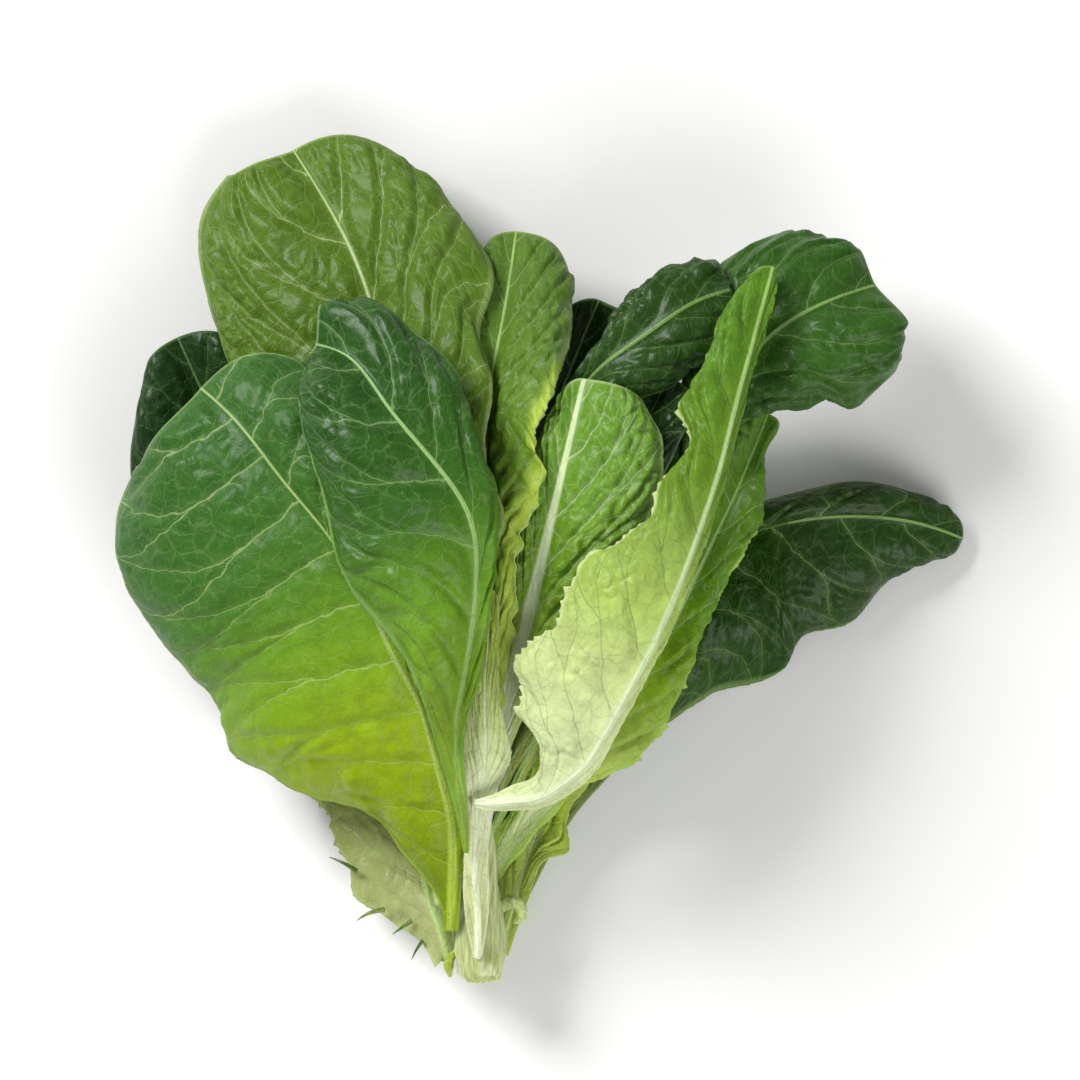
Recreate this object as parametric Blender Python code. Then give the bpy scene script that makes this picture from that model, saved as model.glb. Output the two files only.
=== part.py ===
"""Romaine lettuce head, cut and lying on its side: a short stem with sixteen loose leaves.

The head lies along +Y with its cut end at low Y and its leaves fanned out over X. +Z is up.
Each leaf is a thin waved blade on a thick rib. Its middle surface is spanned between three curves,
the left margin, the midrib and the right margin, by a formula of two numbers: u, from -1 at the
left margin over 0 at the midrib to 1 at the right margin, and v, from 0 at the base to 1 at the tip.
The leaves are laid one on another in list order. A leaf that would pass through what lies under it
is raised over it, as it would come to rest there.
"""

from dataclasses import dataclass
import math

import bmesh
import bpy
import numpy as np

MM = 0.001

# Leaf sizes are measured in millimetres from the foot of the stem, and the finished head is moved
# so that the middle of the flat spot that it rests on is at the origin.
REST_SPOT = (12.0, 125.0)

# Blade and rib
BLADE = 0.9  # thickness of a blade
RIB_SHARE = 0.8  # share of a rib's height that stands out of the leaf's back
RIB_TAPER = 1.4  # how fast a rib thins towards the tip
RIB_HALF_WIDTH = 7.0  # at the base
RIB_TIP_HALF_WIDTH = 2.5
TIP_ROUNDNESS = 0.97  # a tip's outline is almost a quarter of an ellipse on each side
CROWN_SKEW = 1.25  # puts the highest line of each half a little nearer to its margin
TOOTH_REACH = 5  # how fast a tooth's push fades inwards from the margin
MARGIN_SHIFT = 0.31  # share of a wave by which the two margins' ruffles are out of step
ROOMY = 16.0  # half width from which a blade has its full crown and ruffles
RIB_FIT = 0.5  # a rib is never wider than this share of the blade
RIB_ROOMY = 8.0  # half width from which a blade has its full rib
SAMPLES = 240  # along a curve
FIRST_READING = 4  # places first read on a curve, for each one kept

# Lines along a blade, closer by the rib
ACROSS = np.array((-1.0, -0.74, -0.44, -0.17, 0.0, 0.17, 0.44, 0.74, 1.0))

# Laying the leaves on each other
CELL = 2.0  # side of a cell of the height map
MAP_LOW = (-150.0, -30.0)
MAP_CELLS = (190, 190)
CLEARANCE = 0.9  # between two leaves
PRESSED = 1.5  # how far the lowest leaf is pressed flat by the head's weight
FINER = 10  # steps inside a grid cell when two leaves are compared
SETTLING_ROUNDS = 60
SLACKNESS = 0.93  # how quickly a raised leaf comes down again beside what raised it

# Stem
STEM_FOOT = (9.0, 1.0, 19.0)
STEM_TOP = (9.0, 64.0, 44.0)
STEM_RADII = (8.5, 9.5, 9.0, 7.8, 6.6, 5.5, 4.5, 3.0)  # from the cut end to the growing tip
STEM_SIDES = 14
STEM_RIDGE = 0.05  # depth of the leaf scars, as a share of the radius
STEM_RIDGES = 5
STEM_RIDGE_TURN = 2.4  # radians from ring to ring
SHARP_ANGLE = math.radians(50)
LEAF_ROUGHNESS = 0.45

GREENS = {
    "dark": (0.03, 0.10, 0.03),
    "green": (0.09, 0.22, 0.03),
    "light": (0.28, 0.45, 0.08),
    "pale": (0.62, 0.70, 0.36),
    "stem": (0.70, 0.72, 0.48),
}


@dataclass
class Leaf:
    """One leaf, in millimetres. Curves run from base to tip; crowns and teeth are given at base, middle and tip."""

    name: str
    tone: str
    midrib: tuple
    left: tuple  # margin
    right: tuple
    crown_left: tuple = (0, 5, 3)  # how far each half swells towards the near side
    crown_right: tuple = (0, 5, 3)
    rib: float = 4.5  # height of the rib at the base
    back_up: bool = False  # the ribbed back is the near side
    ruffle: float = 2.5  # height of the waves at the margin
    waves: float = 4.0
    phase: float = 0.0
    teeth: int = 8  # along each margin
    tooth_left: tuple = (0, 0, 0)  # depth of the teeth
    tooth_right: tuple = (0, 0, 0)


LEAVES_UNDER_STEM = (
    Leaf("leaf_floor_middle", "dark",
         midrib=((7, 5, 15), (8, 25, 6), (10, 55, 0), (12, 100, -1), (20, 150, -1), (34, 200, 5),
                 (52, 246, 14)),
         left=((2, 5, 16), (-2, 25, 7), (-8, 55, 0), (-14, 100, -1), (-10, 150, -1), (12, 200, 5),
               (38, 240, 14)),
         right=((12, 5, 16), (18, 25, 7), (28, 55, 0), (38, 100, -1), (48, 150, -1), (58, 200, 5),
                (68, 240, 14)),
         crown_left=(0, 0, 2), crown_right=(0, 0, 2), ruffle=1.0, phase=0.2),
    Leaf("leaf_far_left", "dark",
         midrib=((-7, 16, 18), (-13, 34, 8), (-26, 68, 5), (-45, 122, 8), (-64, 160, 13), (-84, 196, 22),
                 (-101, 232, 24)),
         left=((-10, 15, 18), (-18, 36, 8), (-36, 74, 5), (-72, 118, 6), (-108, 152, 10), (-118, 178, 16),
               (-117, 198, 20), (-112, 216, 20)),
         right=((-4, 17, 18), (-8, 36, 8), (-16, 68, 6), (-24, 122, 10), (-36, 166, 16), (-56, 204, 22),
                (-76, 228, 24)),
         crown_left=(0, 3, 6), crown_right=(0, 4, 4), waves=3.0, phase=0.4),
    Leaf("leaf_floor_left", "light",
         midrib=((-3, 6, 18), (-10, 30, 13), (-18, 60, 11), (-28, 100, 10), (-41, 150, 10), (-52, 190, 12),
                 (-60, 220, 15)),
         left=((-7, 3, 22), (-12, 11, 20), (-20, 18, 17), (-33, 25, 14), (-41, 42, 11), (-50, 62, 8),
               (-66, 95, 5), (-82, 135, 6), (-88, 170, 10), (-82, 202, 15)),
         right=((1, 7, 16), (-2, 30, 8), (-4, 60, 5), (-10, 100, 4), (-17, 145, 6), (-27, 185, 10),
                (-40, 212, 15)),
         crown_left=(3, 2, 2), crown_right=(0, 2, 2), phase=0.6, teeth=11, tooth_left=(3, 2, 0)),
    Leaf("leaf_far_right", "dark",
         midrib=((15, 12, 14), (26, 34, 7), (38, 57, 5), (54, 82, 6), (81, 130, 14), (105, 160, 22),
                 (121, 165, 26), (148, 167, 24), (166, 165, 20), (185, 159, 8)),
         left=((12, 13, 14), (22, 37, 7), (33, 60, 6), (48, 86, 8), (74, 132, 20), (93, 157, 27),
               (109, 171, 28), (125, 176, 24), (141, 179, 20), (157, 178, 17), (171, 174, 12)),
         right=((18, 11, 14), (29, 33, 7), (42, 56, 4), (60, 76, 3), (78, 93, 2), (100, 104, 3),
                (119, 110, 6), (125, 122, 10), (145, 130, 9), (154, 140, 8), (166, 148, 7), (177, 153, 5)),
         crown_left=(0, 3, 3), crown_right=(0, 6, 4), rib=3.5, waves=3.0, phase=0.55, teeth=10,
         tooth_right=(0, 1, 1)),
    Leaf("leaf_floor_right", "light",
         midrib=((16, 8, 18), (23, 30, 11), (31, 55, 7), (43, 92, 5), (57, 132, 7), (69, 172, 10),
                 (78, 204, 14)),
         left=((12, 9, 16), (15, 30, 9), (19, 55, 6), (26, 95, 5), (34, 140, 7), (46, 175, 10),
               (62, 198, 14)),
         right=((19, 7, 20), (25, 25, 17), (29, 36, 15), (33, 42, 14), (42, 44, 12), (40, 52, 11),
                (42, 61, 10), (48, 70, 8), (60, 89, 5), (76, 126, 6), (88, 165, 9), (92, 192, 13)),
         crown_left=(0, 2, 2), crown_right=(2, 2, 2), rib=3.5, phase=0.1, teeth=11, tooth_right=(1, 2, 0)),
    Leaf("leaf_right", "light",
         midrib=((12, 36, 20), (19, 47, 25), (30, 59, 31), (46, 77, 38), (67, 108, 48), (88, 148, 54),
                 (103, 180, 52), (113, 204, 42)),
         left=((10, 38, 20), (15, 52, 26), (22, 65, 32), (33, 86, 40), (52, 119, 50), (73, 158, 56),
               (87, 188, 54), (100, 205, 46)),
         right=((15, 34, 20), (22, 43, 25), (30, 53, 29), (38, 62, 31), (45, 69, 32), (56, 73, 33),
                (65, 80, 34), (75, 90, 36), (82, 105, 38), (84, 118, 41), (93, 133, 46), (101, 150, 50),
                (111, 168, 48), (110, 185, 46), (116, 197, 40)),
         crown_left=(0, 3, 3), crown_right=(0, 5, 5), waves=5.0, phase=0.15, teeth=12, tooth_left=(5, 1, 0),
         tooth_right=(3, 3, 1)),
    Leaf("leaf_top_right", "dark",
         midrib=((12, 52, 20), (19, 68, 26), (31, 92, 34), (54, 124, 44), (85, 184, 58), (106, 224, 68),
                 (119, 236, 70), (134, 244, 67), (151, 250, 57)),
         left=((10, 53, 20), (16, 70, 26), (27, 95, 34), (48, 128, 44), (76, 191, 56), (88, 232, 56),
               (95, 257, 50), (109, 267, 46), (120, 270, 42), (133, 267, 40), (144, 261, 40)),
         right=((14, 51, 20), (22, 66, 26), (35, 89, 34), (60, 121, 43), (91, 179, 56), (99, 199, 57),
                (108, 206, 57), (118, 205, 56), (128, 206, 54), (136, 210, 54), (142, 206, 50),
                (151, 213, 48), (159, 221, 46), (158, 236, 46)),
         crown_left=(0, 3, 8), crown_right=(0, 4, 16), waves=4.0, phase=0.3),
    Leaf("leaf_inner_right", "dark",
         midrib=((12, 60, 28), (18, 76, 33), (28, 98, 40), (46, 140, 50), (62, 186, 60), (77, 217, 56)),
         left=((10, 61, 28), (15, 78, 33), (22, 100, 40), (37, 144, 50), (52, 190, 62), (64, 210, 58)),
         right=((14, 59, 28), (21, 74, 33), (34, 95, 40), (56, 138, 50), (75, 182, 58), (86, 205, 54)),
         rib=3.5, ruffle=2.0, phase=0.45),
    Leaf("leaf_top_middle", "dark",
         midrib=((9, 66, 26), (14, 86, 32), (26, 122, 40), (36, 184, 54), (49, 217, 66), (67, 231, 72),
                 (85, 243, 71), (99, 248, 62)),
         left=((7, 66, 26), (11, 87, 32), (20, 123, 40), (28, 180, 52), (37, 209, 60), (46, 222, 60),
               (56, 234, 58), (69, 248, 56), (86, 254, 54)),
         right=((11, 66, 26), (18, 85, 32), (32, 121, 40), (45, 180, 54), (54, 202, 62), (64, 209, 62),
                (75, 212, 60), (86, 222, 59), (95, 236, 58)),
         crown_left=(0, 3, 8), crown_right=(0, 3, 7), ruffle=1.5, phase=0.75),
)

LEAVES_OVER_STEM = (
    Leaf("heart_leaf", "light",
         midrib=((9, 40, 44), (10, 56, 48), (13, 76, 54), (18, 98, 62), (26, 130, 73), (34.5, 166, 80),
                 (41, 194, 81), (46, 216, 77)),
         left=((7, 41, 44), (8, 56, 48), (9, 77, 54), (12, 99, 61), (16, 128, 71), (20, 152, 77),
               (25, 174, 79), (29, 190, 79), (35, 204, 78)),
         right=((11, 40, 44), (13, 56, 48), (17, 75, 54), (25, 96, 62), (38, 122, 73), (52, 142, 80),
                (64, 158, 84), (73, 176, 85), (74, 194, 83), (66, 209, 78)),
         crown_left=(0, 1, 1), crown_right=(0, 3, 4), ruffle=1.0, waves=6.0, phase=0.9, teeth=12,
         tooth_right=(0, 0, 1)),
    Leaf("leaf_upright", "green",
         midrib=((5, 62, 47), (8, 92, 56), (13, 137, 68), (12, 198, 66), (14, 219, 61), (17, 236, 54),
                 (22, 270, 36)),
         left=((3, 63, 47), (4, 96, 54), (3, 151, 60), (1, 194, 57), (3, 232, 46), (9, 256, 34)),
         right=((8, 61, 48), (16, 90, 62), (20, 120, 76), (23, 148, 83), (27, 168, 84), (32, 182, 83),
                (29, 194, 79), (33, 206, 72), (37, 216, 64), (41, 228, 55), (42, 246, 40)),
         crown_left=(0, 4, 4), crown_right=(0, 4, 5), ruffle=1.2, waves=5.0, phase=0.65, teeth=11),
    Leaf("leaf_top_left", "green",
         midrib=((-5, 26, 30), (-8, 70, 30), (-10, 119, 38), (-15, 166, 46), (-22, 198, 50), (-30, 243, 46),
                 (-41, 270, 37), (-59, 300, 22)),
         left=((-9, 26, 29), (-22, 75, 24), (-40, 130, 26), (-62, 180, 28), (-83, 225, 28), (-93, 260, 20),
               (-92, 277, 18), (-83, 291, 18)),
         right=((-1, 27, 29), (0, 76, 32), (6, 112, 42), (9, 140, 52), (11, 154, 58), (17, 162, 64),
                (17, 172, 66), (13, 182, 66), (12, 198, 64), (13, 217, 60), (9, 232, 54), (14, 250, 46),
                (8, 267, 38), (-4, 282, 30)),
         crown_left=(0, 7, 6), crown_right=(0, 5, 6), ruffle=1.5, phase=0.5, teeth=10),
    Leaf("leaf_left", "green",
         midrib=((-2, 17, 34), (-1, 40, 43), (-2, 60, 52), (-8, 84, 63), (-13, 101, 71), (-20, 114, 78),
                 (-31, 138, 84), (-45, 161, 84), (-61, 180, 79), (-77, 200, 72), (-91, 213, 60)),
         left=((-4, 16, 33), (-5, 25, 35), (-8, 32, 36), (-16, 42, 36), (-34, 60, 34), (-52, 66, 33),
               (-66, 73, 32), (-83, 83, 32), (-84, 94, 33), (-95, 110, 36), (-107, 122, 38), (-117, 138, 40),
               (-122, 156, 42), (-121, 172, 42), (-115, 185, 42)),
         right=((1, 17, 34), (3, 40, 42), (4, 60, 50), (-3, 84, 60), (-9, 102, 68), (-14, 117, 78),
                (-24, 141, 87), (-34, 166, 88), (-37, 184, 83), (-40, 200, 78), (-46, 218, 66)),
         crown_left=(0, 10, 8), crown_right=(0, 1, 6), ruffle=1.6, waves=4.0, phase=0.85, teeth=13,
         tooth_left=(1, 1, 0)),
    Leaf("heart_leaf_folded", "pale",
         midrib=((8, 7, 33), (8, 24, 37), (7, 40, 43), (8, 54, 48), (9, 66, 52), (11, 80, 57), (11, 100, 64),
                 (12, 120, 70), (13, 141, 72)),
         left=((6.5, 8, 33), (3.5, 23, 37), (3, 40, 43), (4, 54, 48), (4, 66, 52), (3, 79, 57), (5, 97, 64),
               (7, 118, 70), (9, 134, 72)),
         right=((9.5, 8, 33), (12, 23, 37), (12, 40, 43), (12, 54, 48), (14, 67, 52), (20, 79, 57),
                (19, 88, 60), (16, 103, 66), (16, 118, 70), (16, 134, 72)),
         crown_left=(0, 1, 0), crown_right=(0, 1, 0), rib=3.0, ruffle=0.8, waves=4.0, phase=0.35, teeth=10,
         tooth_left=(0, 1, 1), tooth_right=(0, 1, 1)),
    Leaf("leaf_front_right", "pale",
         midrib=((6, 64, 54), (13, 64, 57), (21, 65, 61), (31, 67, 67), (40, 73, 75), (48, 80, 81),
                 (54, 90, 87), (62, 105, 91), (72, 124, 96), (82, 148, 99), (89, 168, 99), (94, 183, 98),
                 (99, 202, 95), (107, 231, 87), (114, 256, 75)),
         left=((6, 65, 54), (13, 67, 57), (20, 70, 60), (27, 73, 65), (31, 78, 70), (30, 85, 74),
               (26, 92, 78), (22, 98, 80), (24, 106, 82), (21, 116, 84), (32, 125, 88), (39, 137, 91),
               (44, 149, 93), (60, 159, 96), (70, 169, 97), (74, 180, 95), (84, 193, 92), (80, 202, 90),
               (87, 217, 87), (94, 235, 81), (105, 250, 74)),
         right=((6, 63, 54), (13, 61.5, 56), (21, 61.5, 58), (33, 63, 63), (43, 69, 70), (51, 77, 76),
                (57, 87, 81), (65, 103, 85), (75, 123, 90), (85, 147, 93), (92, 167, 93), (96, 182, 92),
                (101, 201, 89), (109, 230, 83), (113, 245, 78)),
         crown_left=(0, 5, 3), crown_right=(0, 1, 1), rib=5.0, back_up=True, ruffle=1.0, waves=6.0, phase=0.7,
         teeth=14, tooth_left=(2, 2, 1)),
    Leaf("leaf_front_left", "dark",
         midrib=((4, 46, 50), (3, 62, 56), (1, 78, 64), (1, 94, 75), (5, 119, 90), (8, 145, 99),
                 (5, 168, 104), (-3, 181, 106), (-12, 192, 107), (-22, 204, 106), (-29, 214, 103),
                 (-37, 223, 97), (-49, 228, 88)),
         left=((3, 46, 50), (0, 62, 56), (-6, 83, 66), (-11, 101, 77), (-17, 114, 85), (-25, 126, 88),
               (-35, 139, 91), (-42, 153, 94), (-46, 172, 95), (-50, 187, 94), (-55, 204, 90),
               (-55, 213, 86), (-52, 222, 82)),
         right=((5, 46, 50), (5, 57, 55), (4, 70, 61), (3.5, 84, 69), (5, 97, 77), (9, 108, 83),
                (11, 118, 87), (13, 131, 91), (13, 147, 94), (13, 162, 96), (13, 177, 97), (9, 192, 97),
                (4, 206, 95), (1, 217, 92), (-8, 228, 88), (-20, 237, 82), (-34, 242, 77), (-45, 240, 77)),
         crown_left=(0, 9, 8), crown_right=(0, 3, 10), rib=3.0, ruffle=1.2, phase=0.05, teeth=10,
         tooth_right=(1, 1, 0)),
)


def curve_through(points, count):
    """Natural cubic spline through the points, read at count places evenly spaced along its length."""
    p = np.array(points, float)
    chord = np.concatenate([[0.0], np.cumsum(np.linalg.norm(np.diff(p, axis=0), axis=1))])
    gap = np.diff(chord)[:, None]
    system = np.eye(len(p))
    slopes = np.zeros_like(p)
    for i in range(1, len(p) - 1):
        system[i, i - 1:i + 2] = gap[i - 1, 0], 2 * (gap[i - 1, 0] + gap[i, 0]), gap[i, 0]
        slopes[i] = 6 * ((p[i + 1] - p[i]) / gap[i] - (p[i] - p[i - 1]) / gap[i - 1])
    bend = np.linalg.solve(system, slopes)
    t = np.linspace(0.0, chord[-1], FIRST_READING * count)
    k = np.clip(np.searchsorted(chord, t, side="right") - 1, 0, len(p) - 2)
    before, after, h = (t - chord[k])[:, None], (chord[k + 1] - t)[:, None], gap[k]
    line = (bend[k] * after**3 + bend[k + 1] * before**3) / (6 * h)
    line += (p[k] / h - bend[k] * h / 6) * after + (p[k + 1] / h - bend[k + 1] * h / 6) * before
    walked = np.concatenate([[0.0], np.cumsum(np.linalg.norm(np.diff(line, axis=0), axis=1))])
    even = np.linspace(0.0, walked[-1], count)
    return np.stack([np.interp(even, walked, line[:, axis]) for axis in range(3)], axis=1)


def unit(vectors):
    return vectors / np.linalg.norm(vectors, axis=-1, keepdims=True)


def eased(base, middle, tip, v):
    """Parabola through the values at v = 0, 0.5 and 1."""
    return base * (1 - v) * (1 - 2 * v) + middle * 4 * v * (1 - v) + tip * v * (2 * v - 1)


def spans(leaf):
    """The midrib and, for each half, what leads from it to the margin: sideways, onwards and up."""
    midrib = curve_through(leaf.midrib, SAMPLES)
    ahead = unit(np.gradient(midrib, axis=0))
    halves = []
    for sign, margin in ((-1, leaf.left), (1, leaf.right)):
        reach = curve_through(margin, SAMPLES) - midrib
        onward = ahead * np.sum(reach * ahead, axis=1, keepdims=True)
        across = reach - onward
        halves.append((sign, across, onward, unit(sign * np.cross(across, ahead))))
    return midrib, halves


def at(values, v):
    """The rows of values at v, blended between neighbours."""
    place = np.clip(v, 0.0, 1.0) * (SAMPLES - 1)
    return np.stack([np.interp(place, np.arange(SAMPLES), column) for column in values.T], axis=-1)


def sheet(leaf, u, v):
    """Middle surface of a blade at u and v.

    At each v a row runs from the midrib out to the margin. What parts them across the leaf is
    covered in step with u, and what parts them along it as a quarter of an ellipse, so the last
    row makes the round tip. Each half then swells by its crown, a half wave between midrib and
    margin, and the margin has ruffles up and down and teeth outwards. A narrow blade swells less.
    """
    midrib, halves = spans(leaf)
    out = np.abs(u)
    full = 1.0 - math.sqrt(1.0 - TIP_ROUNDNESS)
    bow = (1.0 - np.sqrt(1.0 - TIP_ROUNDNESS * out * out)) / full
    inside = np.sin(math.pi * np.clip(v, 0.0, 1.0)) ** 0.5
    result = at(midrib, v)
    for (sign, across, onward, near), crown, tooth in zip(
            halves, (leaf.crown_left, leaf.crown_right), (leaf.tooth_left, leaf.tooth_right)):
        room = np.clip(at(np.linalg.norm(across, axis=1, keepdims=True), v)[..., 0] / ROOMY, 0.0, 1.0)
        wave = 2 * math.pi * (leaf.waves * v + leaf.phase + MARGIN_SHIFT * (sign > 0))
        swell = eased(*crown, v) * np.sin(math.pi * out**CROWN_SKEW)
        swell = swell + leaf.ruffle * out**3 * inside * np.sin(wave)
        saw = np.abs(2 * ((leaf.teeth * v) % 1.0) - 1.0) - 0.5
        push = np.maximum(eased(*tooth, v), 0.0) * saw * out**TOOTH_REACH * (v < 1.0)
        half = at(across, v) * out[..., None] + at(onward, v) * bow[..., None]
        half = half + at(unit(across), v) * (push * room)[..., None] + at(near, v) * (swell * room)[..., None]
        result = result + half * (sign * u > 0)[..., None]
    return result


def rib_height(leaf, v, from_midrib):
    """Height of the rib: a bell across it. It thins towards the tip, and is lower and slimmer on a narrow blade."""
    half_widths = [np.linalg.norm(across, axis=1, keepdims=True) for _, across, _, _ in spans(leaf)[1]]
    narrow = np.minimum(at(half_widths[0], v), at(half_widths[1], v))[..., 0]
    width = RIB_TIP_HALF_WIDTH + (RIB_HALF_WIDTH - RIB_TIP_HALF_WIDTH) * (1.0 - v)
    height = leaf.rib * (1.0 - v) ** RIB_TAPER * np.clip(narrow / RIB_ROOMY, 0.0, 1.0)
    return height * np.exp(-((from_midrib / np.minimum(width, RIB_FIT * narrow)) ** 2))


def faces_of_blade(leaf, u, v, lift):
    """Near and far face of a blade, from its middle surface, its thickness and the rib on its back.

    The thickness is measured square to the blade. The rib stands up the same way all across, so
    that it stays whole where the blade is folded at the midrib.
    """
    middle = sheet(leaf, u, v)
    normal = unit(np.cross(np.gradient(middle, axis=0), np.gradient(middle, axis=1)))
    centre = len(middle) // 2
    from_midrib = np.linalg.norm(middle - middle[centre], axis=-1)
    rib = normal[centre] * rib_height(leaf, v, from_midrib)[..., None]
    middle[..., 2] += lift
    half = normal * BLADE / 2
    near_rib = RIB_SHARE if leaf.back_up else 1.0 - RIB_SHARE
    return middle + half + rib * near_rib, middle - half - rib * (1.0 - near_rib)


class Pile:
    """Height of all that has been laid so far, seen from above, in square cells."""

    def __init__(self):
        self.height = np.full(MAP_CELLS, -PRESSED - CLEARANCE)

    def cells(self, points):
        return tuple(((points[..., axis] - MAP_LOW[axis]) / CELL).astype(int) for axis in (0, 1))

    def add(self, points):
        np.maximum.at(self.height, self.cells(points), points[..., 2])

    def below(self, points):
        """Highest thing under each point or in a cell beside it."""
        x, y = self.cells(points)
        shifts = [(i, j) for i in (-1, 0, 1) for j in (-1, 0, 1)]
        return np.max([self.height[x + i, y + j] for i, j in shifts], axis=0)


def finer(grid):
    """The grid with FINER straight steps in each cell."""
    for axis in (0, 1):
        steps = np.linspace(0, grid.shape[axis] - 1, FINER * (grid.shape[axis] - 1) + 1)
        k = np.minimum(steps.astype(int), grid.shape[axis] - 2)
        t = (steps - k).reshape([-1 if a == axis else 1 for a in range(3)])
        grid = np.take(grid, k, axis) * (1 - t) + np.take(grid, k + 1, axis) * t
    return grid


def lift_over(pile, grid):
    """How far each grid point has to rise for the grid to clear what lies under it, eased out between them."""
    dense = finer(grid)
    short = pile.below(dense) + CLEARANCE - dense[..., 2]
    rows, columns = grid.shape[:2]
    need = np.zeros((rows, columns))
    for i in range(rows):
        for j in range(columns):
            window = short[max(0, (i - 1) * FINER):(i + 1) * FINER + 1,
                           max(0, (j - 1) * FINER):(j + 1) * FINER + 1]
            need[i, j] = max(0.0, window.max())
    lift = need
    for _ in range(SETTLING_ROUNDS):
        wide = np.pad(lift, 1, mode="edge")
        mean = (wide[:-2, 1:-1] + wide[2:, 1:-1] + wide[1:-1, :-2] + wide[1:-1, 2:]) / 4
        lift = np.maximum(need, SLACKNESS * mean)
    return lift


def lay_leaf(leaf, pile):
    """Both faces of a leaf once it lies on the pile, which then includes it."""
    u, v = np.meshgrid(ACROSS, np.linspace(0.0, 1.0, 2 * leaf.teeth + 1), indexing="ij")
    _, far = faces_of_blade(leaf, u, v, 0.0)
    near, far = faces_of_blade(leaf, u, v, lift_over(pile, far))
    pile.add(finer(near))
    pile.add(finer(far))
    far[..., 2] = np.maximum(far[..., 2], 0.0)
    near[..., 2] = np.maximum(near[..., 2], BLADE)
    return near, far


def blade_mesh(name, near, far):
    """One closed thin solid: both faces split along the same diagonals, and a strip round the edge."""
    rows, columns = near.shape[:2]
    points = np.concatenate([near.reshape(-1, 3), far.reshape(-1, 3)]) - (*REST_SPOT, 0.0)
    index = np.arange(rows * columns).reshape(rows, columns)
    below = rows * columns
    faces = []
    for i in range(rows - 1):
        for j in range(columns - 1):
            a, b, c, d = index[i, j], index[i + 1, j], index[i + 1, j + 1], index[i, j + 1]
            faces += [(a, b, c), (a, c, d)]
            faces += [(c + below, b + below, a + below), (d + below, c + below, a + below)]
    edge = [*index[:, 0], *index[-1, 1:], *index[-2::-1, -1], *index[0, -2:0:-1]]
    for a, b in zip(edge, edge[1:] + edge[:1]):
        faces += [(b, a, a + below), (b, a + below, b + below)]
    mesh = bpy.data.meshes.new(name)
    mesh.from_pydata((points * MM).tolist(), [], [tuple(int(i) for i in face) for face in faces])
    mesh.shade_smooth()
    mesh.set_sharp_from_angle(angle=SHARP_ANGLE)
    return mesh


def stem_rings():
    """Rings of points round the stem's axis, each with shallow scars where old leaves came away."""
    foot, top = np.array(STEM_FOOT), np.array(STEM_TOP)
    axis = unit(top - foot)
    up = unit(np.array((0.0, 0.0, 1.0)) - axis * axis[2])
    sideways = np.cross(axis, up)
    turn = np.linspace(0.0, 2 * math.pi, STEM_SIDES, endpoint=False)
    rings = []
    for k, radius in enumerate(STEM_RADII):
        share = k / (len(STEM_RADII) - 1)
        scars = 1.0 - STEM_RIDGE * np.cos(STEM_RIDGES * turn + STEM_RIDGE_TURN * k) ** 2
        spread = (radius * scars)[:, None]
        ring = foot + share * (top - foot) + spread * (
            np.cos(turn)[:, None] * sideways + np.sin(turn)[:, None] * up)
        rings.append(ring)
    return np.array(rings)


def lay_stem(pile):
    """The stem's rings once each is raised over the pile as a whole, so that the stem stays round."""
    rings = stem_rings()
    closed = np.concatenate([rings, rings[:, :1]], axis=1)
    lift = lift_over(pile, closed).max(axis=1)
    rings[..., 2] += lift[:, None]
    closed[..., 2] += lift[:, None]
    pile.add(finer(closed))
    return rings


def stem_mesh(name, rings):
    """Closed solid through the rings, with a flat cut end and a blunt growing tip."""
    shape = bmesh.new()
    loops = [[shape.verts.new((point - (*REST_SPOT, 0.0)) * MM) for point in ring] for ring in rings]
    for low, high in zip(loops, loops[1:]):
        for i in range(STEM_SIDES):
            j = (i + 1) % STEM_SIDES
            shape.faces.new((low[i], low[j], high[j], high[i]))
    shape.faces.new(loops[0][::-1])
    shape.faces.new(loops[-1])
    bmesh.ops.recalc_face_normals(shape, faces=shape.faces)
    mesh = bpy.data.meshes.new(name)
    shape.to_mesh(mesh)
    shape.free()
    mesh.shade_smooth()
    mesh.set_sharp_from_angle(angle=SHARP_ANGLE)
    return mesh


def finish(tone):
    """Plain leaf colour; a waxy leaf has a soft shine."""
    material = bpy.data.materials.get(tone) or bpy.data.materials.new(tone)
    material.use_nodes = True
    shader = material.node_tree.nodes["Principled BSDF"]
    shader.inputs["Base Color"].default_value = (*GREENS[tone], 1.0)
    shader.inputs["Roughness"].default_value = LEAF_ROUGHNESS
    shader.inputs["Metallic"].default_value = 0.0
    return material


def add_object(mesh, tone, head):
    mesh.materials.append(finish(tone))
    piece = bpy.data.objects.new(mesh.name, mesh)
    piece.parent = head
    bpy.context.scene.collection.objects.link(piece)


def clear_scene():
    for old in list(bpy.data.objects):
        bpy.data.objects.remove(old)


def main():
    clear_scene()
    head = bpy.data.objects.new("lettuce_head", None)
    bpy.context.scene.collection.objects.link(head)
    pile = Pile()
    for leaf in LEAVES_UNDER_STEM:
        add_object(blade_mesh(leaf.name, *lay_leaf(leaf, pile)), leaf.tone, head)
    rings = lay_stem(pile)
    add_object(stem_mesh("stem", rings), "stem", head)
    for leaf in LEAVES_OVER_STEM:
        add_object(blade_mesh(leaf.name, *lay_leaf(leaf, pile)), leaf.tone, head)


main()
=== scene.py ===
# %% [markdown]
# A romaine lettuce head lies on a pale table and is seen from straight above.
# The head is sixteen loose leaves on a short stem. The solids say where each leaf lies. This lesson
# grows a fine leaf in the place of each plain one: the same surface, with the puckers between its
# veins, its teeth and its colours added.

import math
from dataclasses import dataclass

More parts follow.
